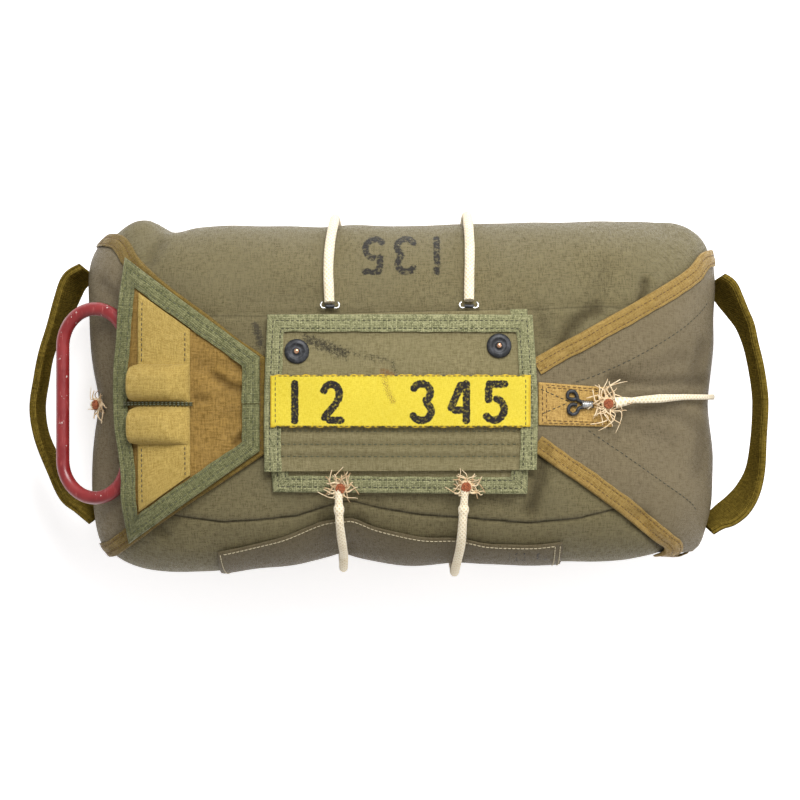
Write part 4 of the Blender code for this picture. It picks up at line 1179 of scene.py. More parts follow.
# The pocket flap over the grip's inner leg: mustard canvas bound in green tape, held up
# by the rod, with a tan band of two finger loops sewn over its open edge.
POCKET_OPEN_EDGE = (
    (-0.1590, -0.0812),
    (-0.1614, -0.0586),
    (-0.1612, -0.0455),
    (-0.1630, -0.0290),
    (-0.1652, -0.0130),
    (-0.1656, 0.0160),
    (-0.1640, 0.0350),
    (-0.1630, 0.0546),
    (-0.1612, 0.0805),
)
POCKET_FIXED_EDGE = ((-0.0836, -0.0291), (-0.0836, 0.0245))
POCKET_LIFT = OVER_BOUND
GRIP_LEG_X = -0.1625
GRIP_MIDDLE_Y = -0.0020
GRIP_HALF_LENGTH = 0.0566
POCKET_RISE = 0.0086
POCKET_RISE_GAIN = 25.0
POCKET_CREASES = (
    # plan line, height, reach
    (((-0.1087, 0.0141), (-0.1000, 0.0080), (-0.0897, 0.0053)), -0.0018, 0.0028),
    (((-0.1060, 0.0185), (-0.0960, 0.0120), (-0.0890, 0.0100)), 0.0010, 0.0034),
    (((-0.0856, -0.0135), (-0.0900, -0.0190), (-0.0969, -0.0252)), -0.0018, 0.0026),
    (((-0.1180, 0.0120), (-0.1120, 0.0040), (-0.1110, -0.0060), (-0.1150, -0.0140)), 0.0010, 0.0040),
    (((-0.1180, 0.0200), (-0.0950, 0.0180)), -0.0008, 0.0050),
    (((-0.1150, -0.0120), (-0.0950, -0.0080)), -0.0008, 0.0050),
    (((-0.1100, -0.0340), (-0.1040, -0.0140)), 0.0008, 0.0060),
    (((-0.1200, 0.0010), (-0.1130, 0.0000)), -0.0014, 0.0026),
)


def over_grip(points):
    """Holds the pocket flap up over the rod's leg, so that the grip can slide out from under it."""
    ease_in = np.clip((points[:, 0] - GRIP_LEG_X - 0.005) / 0.058, 0, 1)
    beyond = np.abs(points[:, 1] - GRIP_MIDDLE_Y) - GRIP_HALF_LENGTH
    hold = (0.5 + 0.5 * np.cos(math.pi * ease_in)) * (1 - 0.7 * np.clip(beyond / 0.030, 0, 1))
    rise = POCKET_RISE + POCKET_RISE_GAIN * np.maximum(0, GRIP_LEG_X + 0.0045 - points[:, 0]) ** 2
    points = points.copy()
    points[:, 2] += hold * rise
    return points


def over_grip_creased(points):
    """The pocket flap's own creases on top of its rise over the rod."""
    moved = fold_heights(points, POCKET_CREASES)
    points = over_grip(points)
    points[:, 2] += moved
    return points


mustard_canvas = woven_cloth(
    "mustard_canvas",
    dark=(0.170, 0.098, 0.020),
    light=(0.400, 0.246, 0.064),
    faded=(0.190, 0.116, 0.030),
    threads=1300.0,
    slub=0.7,
    fade=0.62,
    seed=11.0,
)
green_tape = woven_cloth(
    "green_tape",
    dark=(0.078, 0.084, 0.034),
    light=(0.250, 0.245, 0.115),
    faded=(0.130, 0.132, 0.058),
    threads=950.0,
    slub=0.35,
    fade=0.45,
    specks=0.5,
    bump=0.9,
    seed=13.0,
)
tan_canvas = woven_cloth(
    "tan_canvas",
    dark=(0.315, 0.208, 0.048),
    light=(0.545, 0.390, 0.114),
    faded=(0.330, 0.232, 0.062),
    threads=1300.0,
    slub=0.45,
    fade=0.45,
    seed=17.0,
)
chain_thread = sewing_thread("chain_thread", (0.020, 0.022, 0.008), (0.110, 0.110, 0.050))
green_thread = sewing_thread("green_thread", (0.022, 0.026, 0.012), (0.120, 0.125, 0.060))
open_edge = smooth_line(POCKET_OPEN_EDGE, 0.0017)
fixed_edge = respaced(resampled(POCKET_FIXED_EDGE, 0.001), len(open_edge))
share = np.linspace(0, 1, 64)[:, None, None]
plan = open_edge[None] * (1 - share) + fixed_edge[None] * share
pocket_cloth, pocket_flat, pocket_area = sheet_of(
    "pocket_flap_cloth",
    on_top(plan[..., 0], plan[..., 1]),
    POCKET_LIFT - 0.0003,
    CANVAS,
    mustard_canvas,
    over_grip_creased,
    1.0,
    slot="mustard_canvas",
    stands_for=["pocket_flap"],
)
depth = -fold_heights(np.array([v.co for v in pocket_cloth.data.vertices]), POCKET_CREASES)
carry(pocket_cloth.data, "crease_shade", np.clip(depth / 0.0018, 0, 1) * 0.6)
(fixed_x, fixed_low), (_, fixed_high) = POCKET_FIXED_EDGE
join_y = (fixed_low + fixed_high) / 2
outline = np.vstack(
    [
        resampled(((fixed_x, join_y + 0.0002), (fixed_x, fixed_high)), 0.0018)[:-1],
        resampled(((fixed_x, fixed_high), POCKET_OPEN_EDGE[-1]), 0.0018)[:-1],
        open_edge[::-1],
        resampled((POCKET_OPEN_EDGE[0], (fixed_x, fixed_low)), 0.0018)[1:],
        resampled(((fixed_x, fixed_low), (fixed_x, join_y - 0.0002)), 0.0018)[1:],
    ]
)
pocket_tape, pocket_rows = tape_of(
    "pocket_tape",
    on_top(outline[:, 0], outline[:, 1]),
    POCKET_LIFT,
    1,
    green_tape,
    over_grip,
    slot="green_tape",
    stands_for=["pocket_binding"],
)
pocket_sewn = stitching("pocket_tape_stitches", pocket_rows, green_thread, pitch=0.0034, gap=0.0010)

# The tan band: one strip of canvas hemmed along its sides, raised in two loops.
BAND_HEM_X = -0.1222
BAND_OPEN_X = -0.1522
HUMP_OPEN_X = -0.1552
BAND_UPPER_EDGE = ((-0.1575, 0.0663), (-0.1219, 0.0407))
BAND_LOWER_EDGE = ((-0.1575, -0.0690), (-0.1219, -0.0438))
HUMPS = (
    # lower end, upper end, height
    (-0.0262, -0.0038, 0.0062),
    (-0.0010, 0.0212, 0.0064),
)
BAND_LIFT = POCKET_LIFT + CANVAS + PLY_AIR
BAND_COLUMNS = 30


def hump_height(y):
    """How high the band stands over the pocket flap at each place across its loops."""
    height = np.zeros_like(y)
    for low, high, top in HUMPS:
        off = np.clip(np.abs((y - (low + high) / 2) / ((high - low) / 2)), 0, 1)
        height = np.maximum(height, top * (1 - off**3.2) ** 0.75)
    return height


def band_places():
    """The band's places on the skin and its height there, row by row from its lower end."""
    share = np.concatenate([[0.0], np.linspace(0.02, 0.98, BAND_COLUMNS), [1.0]])
    flat_x = BAND_OPEN_X * (1 - share) + BAND_HEM_X * share
    edges = []
    for (x0, y0), (x1, y1) in (BAND_LOWER_EDGE, BAND_UPPER_EDGE):
        edges.append(y0 + (y1 - y0) * (flat_x - x0) / (x1 - x0))
    low_end, high_end = HUMPS[0][0], HUMPS[1][1]
    rows = []
    lifts = []
    for out in np.concatenate([[1.0], np.linspace(0.985, 0.02, 26)]):
        rows.append(np.stack([flat_x, low_end + (edges[0] - low_end) * out], axis=1))
        lifts.append(0 * share)
    fade = np.clip((1 - share) / 0.30, 0, 1) ** 0.7
    for y in np.linspace(low_end, high_end, 78):
        swell = float(hump_height(np.array([y]))[0])
        open_x = BAND_OPEN_X + (HUMP_OPEN_X - BAND_OPEN_X) * min(1.0, swell / 0.0030)
        x = open_x * (1 - share) + BAND_HEM_X * share
        rows.append(np.stack([x, y - 0.0009 * swell / 0.006 * fade], axis=1))
        lifts.append(swell * fade)
    for out in np.concatenate([np.linspace(0.02, 0.985, 26), [1.0]]):
        rows.append(np.stack([flat_x, high_end + (edges[1] - high_end) * out], axis=1))
        lifts.append(0 * share)
    plan = np.array(rows)
    return on_top(plan[..., 0], plan[..., 1]), np.array(lifts)


band_base, band_lifts = band_places()
band_cloth, band_flat, band_area = sheet_of(
    "pocket_band_cloth",
    band_base,
    BAND_LIFT + band_lifts,
    CANVAS,
    tan_canvas,
    over_grip,
    slot="tan_canvas",
    stands_for=["pocket_band"],
)
hem_rows = []
for x in (BAND_OPEN_X + 0.0026, BAND_HEM_X - 0.0026):
    for y0, y1 in ((-0.0600, HUMPS[0][0] - 0.001), (HUMPS[1][1] + 0.001, 0.0600)):
        low = np.interp(x, *np.array(BAND_LOWER_EDGE).T) + 0.0015
        high = np.interp(x, *np.array(BAND_UPPER_EDGE).T) - 0.0015
        hem_rows.append(resampled(((x, max(y0, low)), (x, min(y1, high))), 0.002))
band_sewn = stitching(
    "pocket_band_stitches", on_piece(hem_rows, BAND_LIFT + CANVAS, over_grip), dark_thread, pitch=0.0030
)
chain_line = ((-0.1600, -0.0022), (-0.1400, -0.0020), (-0.1225, -0.0023), (-0.1185, -0.0026))
chain = resampled(chain_line, 0.0010)
chain_lift = BAND_LIFT + CANVAS + 0.0009
chain_rows = on_piece([chain + (0.0, 0.0006), chain - (0.0, 0.0006)], chain_lift, over_grip)
chain_sewn = stitching(
    "pocket_band_chain_stitches", chain_rows, chain_thread, radius=0.00062, pitch=0.0024, gap=0.0001
)


# The ripcord grip: a steel rod bent into a loop and painted red, its inner leg pushed
# under the pocket flap. It slides out to the left when it is pulled.
ROD_RADIUS = 0.0040
GRIP_LEG_Z = 0.1216
GRIP_WIDTH = 0.0450
GRIP_LEAN = math.radians(25)
GRIP_SIDES = 28


def grip_line():
    """The middle line of the bent rod, closed."""
    reach = GRIP_WIDTH / 2
    straight = GRIP_HALF_LENGTH - reach
    path = []
    for end in (1, -1):
        for angle in np.linspace(0, math.pi, 41):
            path.append((end * reach * math.cos(angle), end * (straight + reach * math.sin(angle))))
        for k in range(1, 24):
            path.append((-end * reach, end * straight * (1 - 2 * k / 24)))
    path = np.array(path)
    out = path[:, 0] - reach
    return np.stack(
        [
            GRIP_LEG_X + out * math.cos(GRIP_LEAN),
            GRIP_MIDDLE_Y + path[:, 1],
            GRIP_LEG_Z + out * math.sin(GRIP_LEAN),
        ],
        axis=1,
    )


def tube_rings(path, radius, sides, closed=False, ripple=None):
    """Round rings along a line, square to it; ripple changes the radius round and along."""
    path = np.asarray(path, float)
    ways = np.roll(path, -1, axis=0) - np.roll(path, 1, axis=0) if closed else np.gradient(path, axis=0)
    ways = ways / np.linalg.norm(ways, axis=1)[:, None]
    side = np.cross(ways[0], (0.0, 0.0, 1.0))
    if np.linalg.norm(side) < 0.2:
        side = np.cross(ways[0], (0.0, 1.0, 0.0))
    radius = np.broadcast_to(np.asarray(radius, float), (len(path),))
    turn = 2 * math.pi * np.arange(sides) / sides
    run = run_of(path)
    rings = []
    for place, way, size, along in zip(path, ways, radius, run):
        side = side - way * (side @ way)
        side = side / np.linalg.norm(side)
        up = np.cross(side, way)
        girth = size * (1 + (ripple(turn, along) if ripple else 0 * turn))
        rings.append(place + girth[:, None] * (np.cos(turn)[:, None] * side + np.sin(turn)[:, None] * up))
    return np.array(rings)


def red_enamel():
    """Old red enamel on steel: glossy, scuffed, with pale chips down to the primer."""
    material, tree, shader = new_material("red_enamel")
    fading = effect(tree, FADING, {0: 90.0, 1: 2.0})
    place = wired(tree, "ShaderNodeTexCoord").outputs["Object"]
    colour = between(tree, fading[0], (0.190, 0.009, 0.011, 1.0), (0.280, 0.018, 0.018, 1.0))
    chips = wired(
        tree, "ShaderNodeTexNoise", {"Vector": place, "Scale": 260.0, "Detail": 4.0, "Roughness": 0.65}
    )
    chipped = band_of(tree, chips.outputs[0], 0.665, 0.69)
    stretched = wired(tree, "ShaderNodeMapping", {"Vector": place, "Scale": (9.0, 1.0, 1.0)})
    scuffs = wired(
        tree, "ShaderNodeTexNoise", {"Vector": stretched.outputs[0], "Scale": 140.0, "Detail": 5.0}
    )
    scuffed = sums(tree, "MULTIPLY", band_of(tree, scuffs.outputs[0], 0.60, 0.72), 0.35)
    colour = between(tree, scuffed, colour, (0.600, 0.180, 0.160, 1.0))
    colour = between(tree, sums(tree, "MULTIPLY", chipped, 0.85), colour, (0.640, 0.520, 0.480, 1.0))
    tree.links.new(colour, shader.inputs["Base Color"])
    tree.links.new(
        band_of(tree, sums(tree, "ADD", scuffed, fading[0]), -1.2, 2.2), shader.inputs["Roughness"]
    )
    shader.inputs["Coat Weight"].default_value = 0.3
    shader.inputs["Coat Roughness"].default_value = 0.2
    height = sums(tree, "SUBTRACT", sums(tree, "MULTIPLY", fading[0], 0.3), chipped)
    emboss(tree, shader, height, 0.35, 0.00015)
    return material


grip_path = grip_line()
grip_mesh = rings_mesh(
    "ripcord_grip_rod", tube_rings(grip_path, ROD_RADIUS, GRIP_SIDES, closed=True), closed=True
)
link_piece(
    "ripcord_grip_rod",
    grip_mesh,
    red_enamel(),
    body="grip",
    slot="grip_paint",
    stands_for=["ripcord_grip"],
)


# The cover over the closing pins and the flap under it: olive canvas bound in green
# tape. The cover's sides carry wide tape, and its lower half is quilted by three rows.
UNDER_LEFT = ((-0.0735, -0.0525), (-0.0745, -0.0300), (-0.0745, 0.0300), (-0.0730, 0.0495))
UNDER_RIGHT = ((0.0735, -0.0535), (0.0740, -0.0300), (0.0740, 0.0300), (0.0735, 0.0530))
COVER_LEFT = ((-0.0780, -0.0415), (-0.0779, 0.0000), (-0.0762, 0.0480))
COVER_RIGHT = ((0.0785, -0.0405), (0.0790, 0.0000), (0.0762, 0.0478))
COVER_LIFT = OVER_BOUND
COVER_TOP = COVER_LIFT + BOUND_EDGE
QUILT_ROWS = (-0.0182, -0.0258, -0.0328)
COVER_CREASES = tuple((((-0.0700, y), (0.0700, y)), -0.0005, 0.0022) for y in QUILT_ROWS) + (
    (((-0.0690, 0.0400), (0.0680, 0.0400)), -0.0003, 0.0030),
)


def spread_between(left, right, columns, rows):
    """Places on the skin between a left and a right edge."""
    left = respaced(smooth_line(left, 0.0005), rows + 1)
    right = respaced(smooth_line(right, 0.0005), rows + 1)
    over = np.linspace(0, 1, columns + 1)[:, None, None]
    plan = left[None] * (1 - over) + right[None] * over
    return on_top(plan[..., 0], plan[..., 1])


def quilted(points):
    """The cover's quilting rows pull it in a little."""
    return folded(points, COVER_CREASES)


def cover_marks(tree, colour):
    """Black smudges and small oil spots."""
    colour = blotch_on(tree, colour, "smudge", (0.020, 0.018, 0.016), strength=0.85, grain=620.0)
    return blotch_on(tree, colour, "rust", (0.230, 0.085, 0.020), strength=0.7)


cover_canvas = woven_cloth(
    "cover_canvas",
    dark=(0.145, 0.120, 0.054),
    light=(0.290, 0.248, 0.128),
    faded=(0.200, 0.174, 0.086),
    threads=1450.0,
    seed=21.0,
    extra=cover_marks,
)
pale_green_tape = woven_cloth(
    "pale_green_tape",
    dark=(0.110, 0.114, 0.054),
    light=(0.400, 0.388, 0.205),
    faded=(0.215, 0.212, 0.104),
    threads=950.0,
    slub=0.35,
    fade=0.5,
    specks=0.45,
    bump=0.9,
    seed=23.0,
)
under_cloth, under_flat, under_area = sheet_of(
    "under_flap_cloth",
    spread_between(UNDER_LEFT, UNDER_RIGHT, 80, 56),
    AIR,
    CANVAS,
    cover_canvas,
    None,
    1.0,
    slot="cover_canvas",
    stands_for=["under_flap"],
)


def edge_line(*edges):
    """Soft edges joined at sharp corners."""
    parts = [smooth_line(edge, 0.0018) for edge in edges]
    joined = [parts[0]]
    for before, after in zip(parts[:-1], parts[1:]):
        joined.append(resampled((before[-1], after[0]), 0.0018)[1:-1])
        joined.append(after)
    return np.vstack(joined)


line = edge_line(UNDER_LEFT[::-1], UNDER_RIGHT)
under_tape, under_rows = tape_of(
    "under_flap_tape",
    on_top(line[:, 0], line[:, 1]),
    AIR,
    1,
    pale_green_tape,
    slot="green_tape",
    stands_for=["under_binding"],
)
under_sewn = stitching("under_flap_stitches", under_rows, dark_thread)

cover_cloth, cover_flat, cover_area = sheet_of(
    "cover_flap_cloth",
    spread_between(COVER_LEFT, COVER_RIGHT, 110, 64),
    COVER_LIFT,
    CANVAS,
    cover_canvas,
    quilted,
    1.0,
    slot="cover_canvas",
    stands_for=["cover_flap"],
)
spots = np.array([v.co for v in cover_cloth.data.vertices])
near_snap = ((-0.0540, 0.0355), (-0.0420, 0.0310), (-0.0330, 0.0275))
trail = ((-0.0400, 0.0310), (-0.0250, 0.0270), (-0.0050, 0.0230), (-0.0030, 0.0180))
smudge = np.maximum(0.62 * close_to(spots, near_snap, 0.0072), 0.50 * close_to(spots, trail, 0.0050))
carry(cover_cloth.data, "smudge", smudge)
carry(cover_cloth.data, "rust", 0.6 * close_to(spots, ((-0.010, 0.017), (-0.004, 0.015)), 0.0035))
depth = -fold_heights(spots, COVER_CREASES)
carry(cover_cloth.data, "crease_shade", np.clip(depth / 0.0006, 0, 1) * 0.45)
line = edge_line(COVER_LEFT, COVER_RIGHT[::-1])
cover_tape, cover_rows = tape_of(
    "cover_flap_tape",
    on_top(line[:, 0], line[:, 1]),
    COVER_LIFT,
    -1,
    pale_green_tape,
    slot="green_tape",
    stands_for=["cover_binding"],
)
cover_sewn = stitching("cover_flap_tape_stitches", cover_rows, dark_thread, pitch=0.0030, gap=0.0009)
quilt_lines = [resampled(((-0.0700, y), (0.0700, y)), 0.002) for y in QUILT_ROWS]
quilt_sewn = stitching(
    "cover_flap_quilting_stitches",
    on_piece(quilt_lines, COVER_LIFT + CANVAS, quilted),
    green_thread,
    pitch=0.0034,
    gap=0.0012,
)


# The yellow strip sewn across the cover: coated cloth with plain stencilled numerals,
# cut with a hot knife so that its edges are a little ragged and dark.
STRIP_CORNERS = ((-0.0754, -0.0158), (0.0760, -0.0158), (0.0760, 0.0146), (-0.0754, 0.0146))
STRIP_CELLS = (240, 52)
STRIP_LIFT = COVER_TOP + 0.0005


def strip_marks(tree, colour):
    """Stencilled numerals in black, a rust spot and dirt along the cut edges."""
    colour = ink_on(tree, colour, "strip_mark", (0.016, 0.014, 0.014), worn=-0.25, edge=0.00030, grain=700.0)
    colour = blotch_on(tree, colour, "rust", (0.160, 0.060, 0.020), strength=0.9, grain=1300.0)
    edge = band_of(tree, value_of(tree, "from_edge"), 0.0012, 0.0002)
    return between(tree, sums(tree, "MULTIPLY", edge, 0.55), colour, (0.480, 0.270, 0.020, 1.0))


yellow_cloth = woven_cloth(
    "yellow_strip",
    dark=(0.570, 0.430, 0.026),
    light=(0.720, 0.590, 0.062),
    faded=(0.630, 0.505, 0.040),
    threads=1900.0,
    slub=0.3,
    fade=0.4,
    bump=0.35,
    seed=27.0,
    specks=0.0,
    extra=strip_marks,
)


def ragged(points):
    """The strip's cut edges wander a little."""
    x, y, z = points.T
    low, high = STRIP_CORNERS[0][1], STRIP_CORNERS[2][1]
    near = np.exp(-np.minimum(y - low, high - y) / 0.0012)
    wander = 0.00025 * np.sin(430 * x) + 0.00020 * np.sin(1130 * x + 1.0)
    return np.stack([x, y + wander * near, z], axis=1)


strip_cloth, strip_flat, strip_area = sheet_of(
    "number_strip_cloth",
    corner_grid(STRIP_CORNERS, STRIP_CELLS),
    STRIP_LIFT,
    PATCH_CLOTH,
    yellow_cloth,
    ragged,
    slot="yellow_strip",
    stands_for=["number_strip"],
)
spots = np.array([v.co for v in strip_cloth.data.vertices])
strip_text = written("12", -0.0680, -0.0130, 0.0235, 0.0215)
strip_text = strip_text + written("345", 0.0070, -0.0130, 0.0235, 0.0215)
carry(strip_cloth.data, "strip_mark", strokes_field(spots, strip_text, 0.0022))
rust = close_to(spots, ((-0.0095, 0.0150), (-0.0075, 0.0060), (-0.0040, -0.0010)), 0.0042)
carry(strip_cloth.data, "rust", 0.52 * rust)
rim = np.minimum(
    np.minimum(spots[:, 1] - STRIP_CORNERS[0][1], STRIP_CORNERS[2][1] - spots[:, 1]),
    STRIP_CORNERS[1][0] - np.abs(spots[:, 0]),
)
carry(strip_cloth.data, "from_edge", rim)
strip_sewn = stitching(
    "number_strip_stitches",
    on_piece(inset_loop(STRIP_CORNERS, 0.0022), STRIP_LIFT + PATCH_CLOTH),
    dark_thread,
    radius=0.00022,
    pitch=0.0031,
)


# The snap caps: dished and blackened brass caps, each turned over a copper post.
SNAP_PLACES = {"snap_left": (-0.0603, 0.0283), "snap_right": (0.0579, 0.0315)}
SNAP_RADIUS = 0.0073
SNAP_SIDES = 56
CAP_STEPS = (
    # share of the radius, height
    (0.96, 0.0000),
    (1.00, 0.0003),
    (1.00, 0.0007),
    (0.965, 0.0012),
    (0.90, 0.0016),
    (0.80, 0.0019),
    (0.68, 0.00205),
    (0.62, 0.0020),
    (0.56, 0.0016),
    (0.48, 0.0014),
    (0.36, 0.00135),
    (0.28, 0.0015),
    (0.25, 0.0018),
    (0.24, 0.0022),
)
POST_STEPS = (
    # share of the radius, height
    (0.20, 0.0023),
    (0.215, 0.0026),
    (0.19, 0.0030),
    (0.13, 0.0033),
    (0.05, 0.0034),
)


def turned(name, foot, up, steps, radius, sides, finish, **link):
    """A round metal piece from its profile, closed below and above."""
    side = np.cross((0.0, 1.0, 0.0), up)
    side = side / np.linalg.norm(side)
    other = np.cross(up, side)
    turn = 2 * math.pi * np.arange(sides) / sides
    round_way = np.cos(turn)[:, None] * side + np.sin(turn)[:, None] * other
    rings = [foot + up * height + radius * share * round_way for share, height in steps]
    return link_piece(name, rings_mesh(name, rings, sharp=70), finish, **link)


def worn_metal(name, base, bright, roughness, metallic, grain=700.0):
    """Metal with its finish worn thin in places."""
    material, tree, shader = new_material(name)
    fading = effect(tree, FADING, {0: 260.0, 1: 4.0})
    scratch = noise_in(tree, {"Scale": grain, "Detail": 6.0, "Roughness": 0.7})
    worn = band_of(
        tree,
        sums(tree, "MULTIPLY_ADD", scratch.outputs[0], 0.6, sums(tree, "MULTIPLY", fading[0], 0.4)),
        0.42,
        0.66,
    )
    tree.links.new(between(tree, worn, (*base, 1.0), (*bright, 1.0)), shader.inputs["Base Color"])
    tree.links.new(
        sums(tree, "MULTIPLY_ADD", scratch.outputs[0], 0.3, roughness - 0.15),
        shader.inputs["Roughness"],
    )
    shader.inputs["Metallic"].default_value = metallic
    emboss(tree, shader, scratch.outputs[0], 0.25, 0.0001)
    return material


black_metal = worn_metal("blackened_brass", (0.016, 0.017, 0.019), (0.048, 0.050, 0.056), 0.50, 0.25)
copper = worn_metal("copper_post", (0.420, 0.210, 0.120), (0.750, 0.450, 0.280), 0.30, 0.9)
bright_steel = worn_metal("bright_steel", (0.420, 0.420, 0.410), (0.800, 0.800, 0.780), 0.28, 0.9)
for name, (x, y) in SNAP_PLACES.items():
    middle = on_top(x, y).reshape(1, 3)
    up = outward(middle)[0]
    foot = settle(middle, COVER_LIFT + CANVAS + 0.0003)[0]
    turned(
        name + "_cap",
        foot,
        up,
        CAP_STEPS,
        SNAP_RADIUS,
        SNAP_SIDES,
        black_metal,
        slot="dark_metal",
        stands_for=[name],
    )
    turned(name + "_post", foot, up, POST_STEPS, SNAP_RADIUS, 24, copper)


# The elastic opening bands: rubber threads in a braided cotton sleeve, hooked near the
# middle of the pack and led over its walls. Two lower ones and the right one are cut.
CORD_RADIUS = 0.0032
CORD_SIDES = 24
BRAID_TURNS = 2300.0
SIDE_CORDS = {
    # name: side, height over the skin, then x against the angle above the widest outline
    "band_upper_left": (
        1,
        0.0040,
        ((-0.0412, 52.75), (-0.0425, 46.0), (-0.0422, 33.0), (-0.0397, 22.0), (-0.0395, -29.0)),
    ),
    "band_upper_right": (
        1,
        0.0040,
        ((0.0406, 51.75), (0.0408, 45.0), (0.0417, 33.0), (0.0411, 20.0), (0.0405, -29.0)),
    ),
    "band_lower_left": (
        -1,
        0.0110,
        (
            (-0.0360, 54.4),
            (-0.0362, 50.6),
            (-0.0356, 43.0),
            (-0.0335, 30.0),
            (-0.0340, 20.0),
            (-0.0370, -29.0),
        ),
    ),
    "band_lower_right": (
        -1,
        0.0076,
        ((0.0384, 55.0), (0.0376, 51.7), (0.0367, 42.0), (0.0358, 33.0), (0.0331, 25.0), (0.0335, -29.0)),
    ),
}
END_CORDS = {
    # name: side, then height over the skin, y and turn
    "band_right_end": (
        1,
        (
            (0.0064, -0.0018, 41.9),
            (0.0072, -0.0012, 40.4),
            (0.0080, 0.0000, 36.0),
            (0.0086, 0.0010, 28.0),
            (0.0078, 0.0018, 20.0),
            (0.0066, 0.0018, -22.0),
        ),
    ),
    "band_left_end": (
        -1,
        (
            (0.0054, -0.0030, 6.0),
            (0.0066, -0.0030, 0.0),
            (0.0066, -0.0030, -6.0),
            (0.0056, -0.0030, -22.0),
        ),
    ),
}
CORD_WAISTS = {
    # name: distance from the cut end against share of the full radius
    "band_upper_left": ((0.0, 0.92), (1.0, 0.92)),
    "band_upper_right": ((0.0, 0.92), (1.0, 0.92)),
    "band_lower_left": (
        (0.0, 0.80),
        (0.004, 0.66),
        (0.009, 0.72),
        (0.0105, 0.96),
        (0.013, 0.96),
        (0.015, 0.76),
        (0.03, 0.80),
        (1.0, 0.86),
    ),
    "band_lower_right": (
        (0.0, 0.80),
        (0.004, 0.66),
        (0.009, 0.72),
        (0.0105, 0.98),
        (0.013, 0.98),
        (0.015, 0.80),
        (0.03, 0.84),
        (1.0, 0.88),
    ),
    "band_right_end": (
        (0.0, 1.05),
        (0.006, 0.80),
        (0.011, 0.52),
        (0.018, 0.68),
        (0.030, 0.78),
        (0.045, 0.62),
        (0.06, 0.50),
        (1.0, 0.50),
    ),
    "band_left_end": ((0.0, 0.9), (1.0, 0.9)),
}


def braided(turn, along):
    """The braid's strands cross in diamonds and stand out where they lie over."""
    one = np.sin(8 * turn + along * BRAID_TURNS)
    two = np.sin(8 * turn - along * BRAID_TURNS)
    return 0.018 * np.maximum(one, two) + 0.020 * np.sin(along * 230 + 2 * turn)


def braid_cotton():
    """Cream cotton braid, darker in the grooves between its strands with painted shade."""
    material, tree, shader = new_material("cream_braid")
    place = wired(tree, "ShaderNodeTexCoord").outputs["UV"]
    parts = wired(tree, "ShaderNodeSeparateXYZ", {0: place}).outputs
    turns = sums(tree, "MULTIPLY", parts[0], 8 / CORD_RADIUS)
    along = sums(tree, "MULTIPLY", parts[1], BRAID_TURNS)
    one = sums(tree, "SINE", sums(tree, "ADD", turns, along))
    two = sums(tree, "SINE", sums(tree, "SUBTRACT", turns, along))
    strands = sums(tree, "MAXIMUM", one, two)
    fading = effect(tree, FADING, {0: 160.0, 1: 31.0})
    colour = between(
        tree, band_of(tree, strands, -0.4, 0.9), (0.720, 0.590, 0.370, 1.0), (0.900, 0.820, 0.640, 1.0)
    )
    colour = between(tree, sums(tree, "MULTIPLY", fading[0], 0.35), colour, (0.640, 0.480, 0.270, 1.0))
    tree.links.new(colour, shader.inputs["Base Color"])
    tree.links.new(band_of(tree, strands, -4.0, 2.0), shader.inputs["Roughness"])
    shader.inputs["Sheen Weight"].default_value = 0.2
    emboss(tree, shader, strands, 0.6, 0.0003)
    return material


cream_braid = braid_cotton()


def cord_piece(name, path):
    """One braided band, drawn in or swollen along its length."""
    path = resampled(path, 0.0009)
    waist = np.array(CORD_WAISTS[name])
    radius = CORD_RADIUS * np.interp(run_of(path), waist[:, 0], waist[:, 1])
    rings = tube_rings(path, radius, CORD_SIDES, ripple=braided)
    if name == "band_right_end":
        up = outward(path)[:, None]
        away = rings - path[:, None]
        pressed = np.interp(run_of(path), (0.008, 0.016), (0.0, 0.45))[:, None, None]
        rings = rings - up * (away * up).sum(axis=2, keepdims=True) * pressed
    mesh = rings_mesh(name + "_cord", rings)
    return link_piece(name + "_cord", mesh, cream_braid, slot="cream_braid", stands_for=[name])


for name, (side, lift, table) in SIDE_CORDS.items():
    table = np.array(table)
    turns = np.linspace(table[0, 1], table[-1, 1], 60)
    x = np.interp(-turns, -table[:, 1], table[:, 0])
    x = np.convolve(np.pad(x, 4, mode="edge"), np.ones(9) / 9, mode="valid")
    heights = np.full(len(turns), lift)
    if side < 0:
        heights -= (lift - 0.0062) * np.clip(1 - (turns[0] - turns) / 10.0, 0, 1)
    cord_piece(name, settle(on_side(side, x, turns), heights))
for name, (side, table) in END_CORDS.items():
    table = np.array(table)
    turns = np.linspace(table[0, 2], table[-1, 2], 60)
    lift = np.interp(-turns, -table[:, 2], table[:, 0])
    if side > 0:
        lift = lift - np.interp(-turns, (-36.0, -26.0, -18.0), (0.0, 0.0026, 0.0028))
    y = np.interp(-turns, -table[:, 2], table[:, 1])
    cord_piece(name, settle(on_end(side, turns, y), lift))


# The cut ends of the bands: the cotton sleeve has burst into curled yarns round the
# bundle of perished rubber threads.
FRAYED_ENDS = {
    # name: middle on the skin in x and y, height over the skin, way the cord runs off, yarns, their reach
    "lower_left": ((-0.0350, -0.0505), 0.0042, -92.0, 30, 0.0105),
    "lower_right": ((0.0388, -0.0497), 0.0042, -95.0, 28, 0.0100),
    "right_end": ((0.1212, -0.0022), 0.0040, 10.0, 40, 0.0140),
    "left_end": ((-0.1785, -0.0030), 0.0032, 180.0, 18, 0.0095),
}
HUB_RADIUS = 0.0040
HUB_HEIGHT = 0.0032
RUBBER_REACH = 0.0031
RUBBER_THREAD = 0.00062
YARN_RADIUS = 0.00050


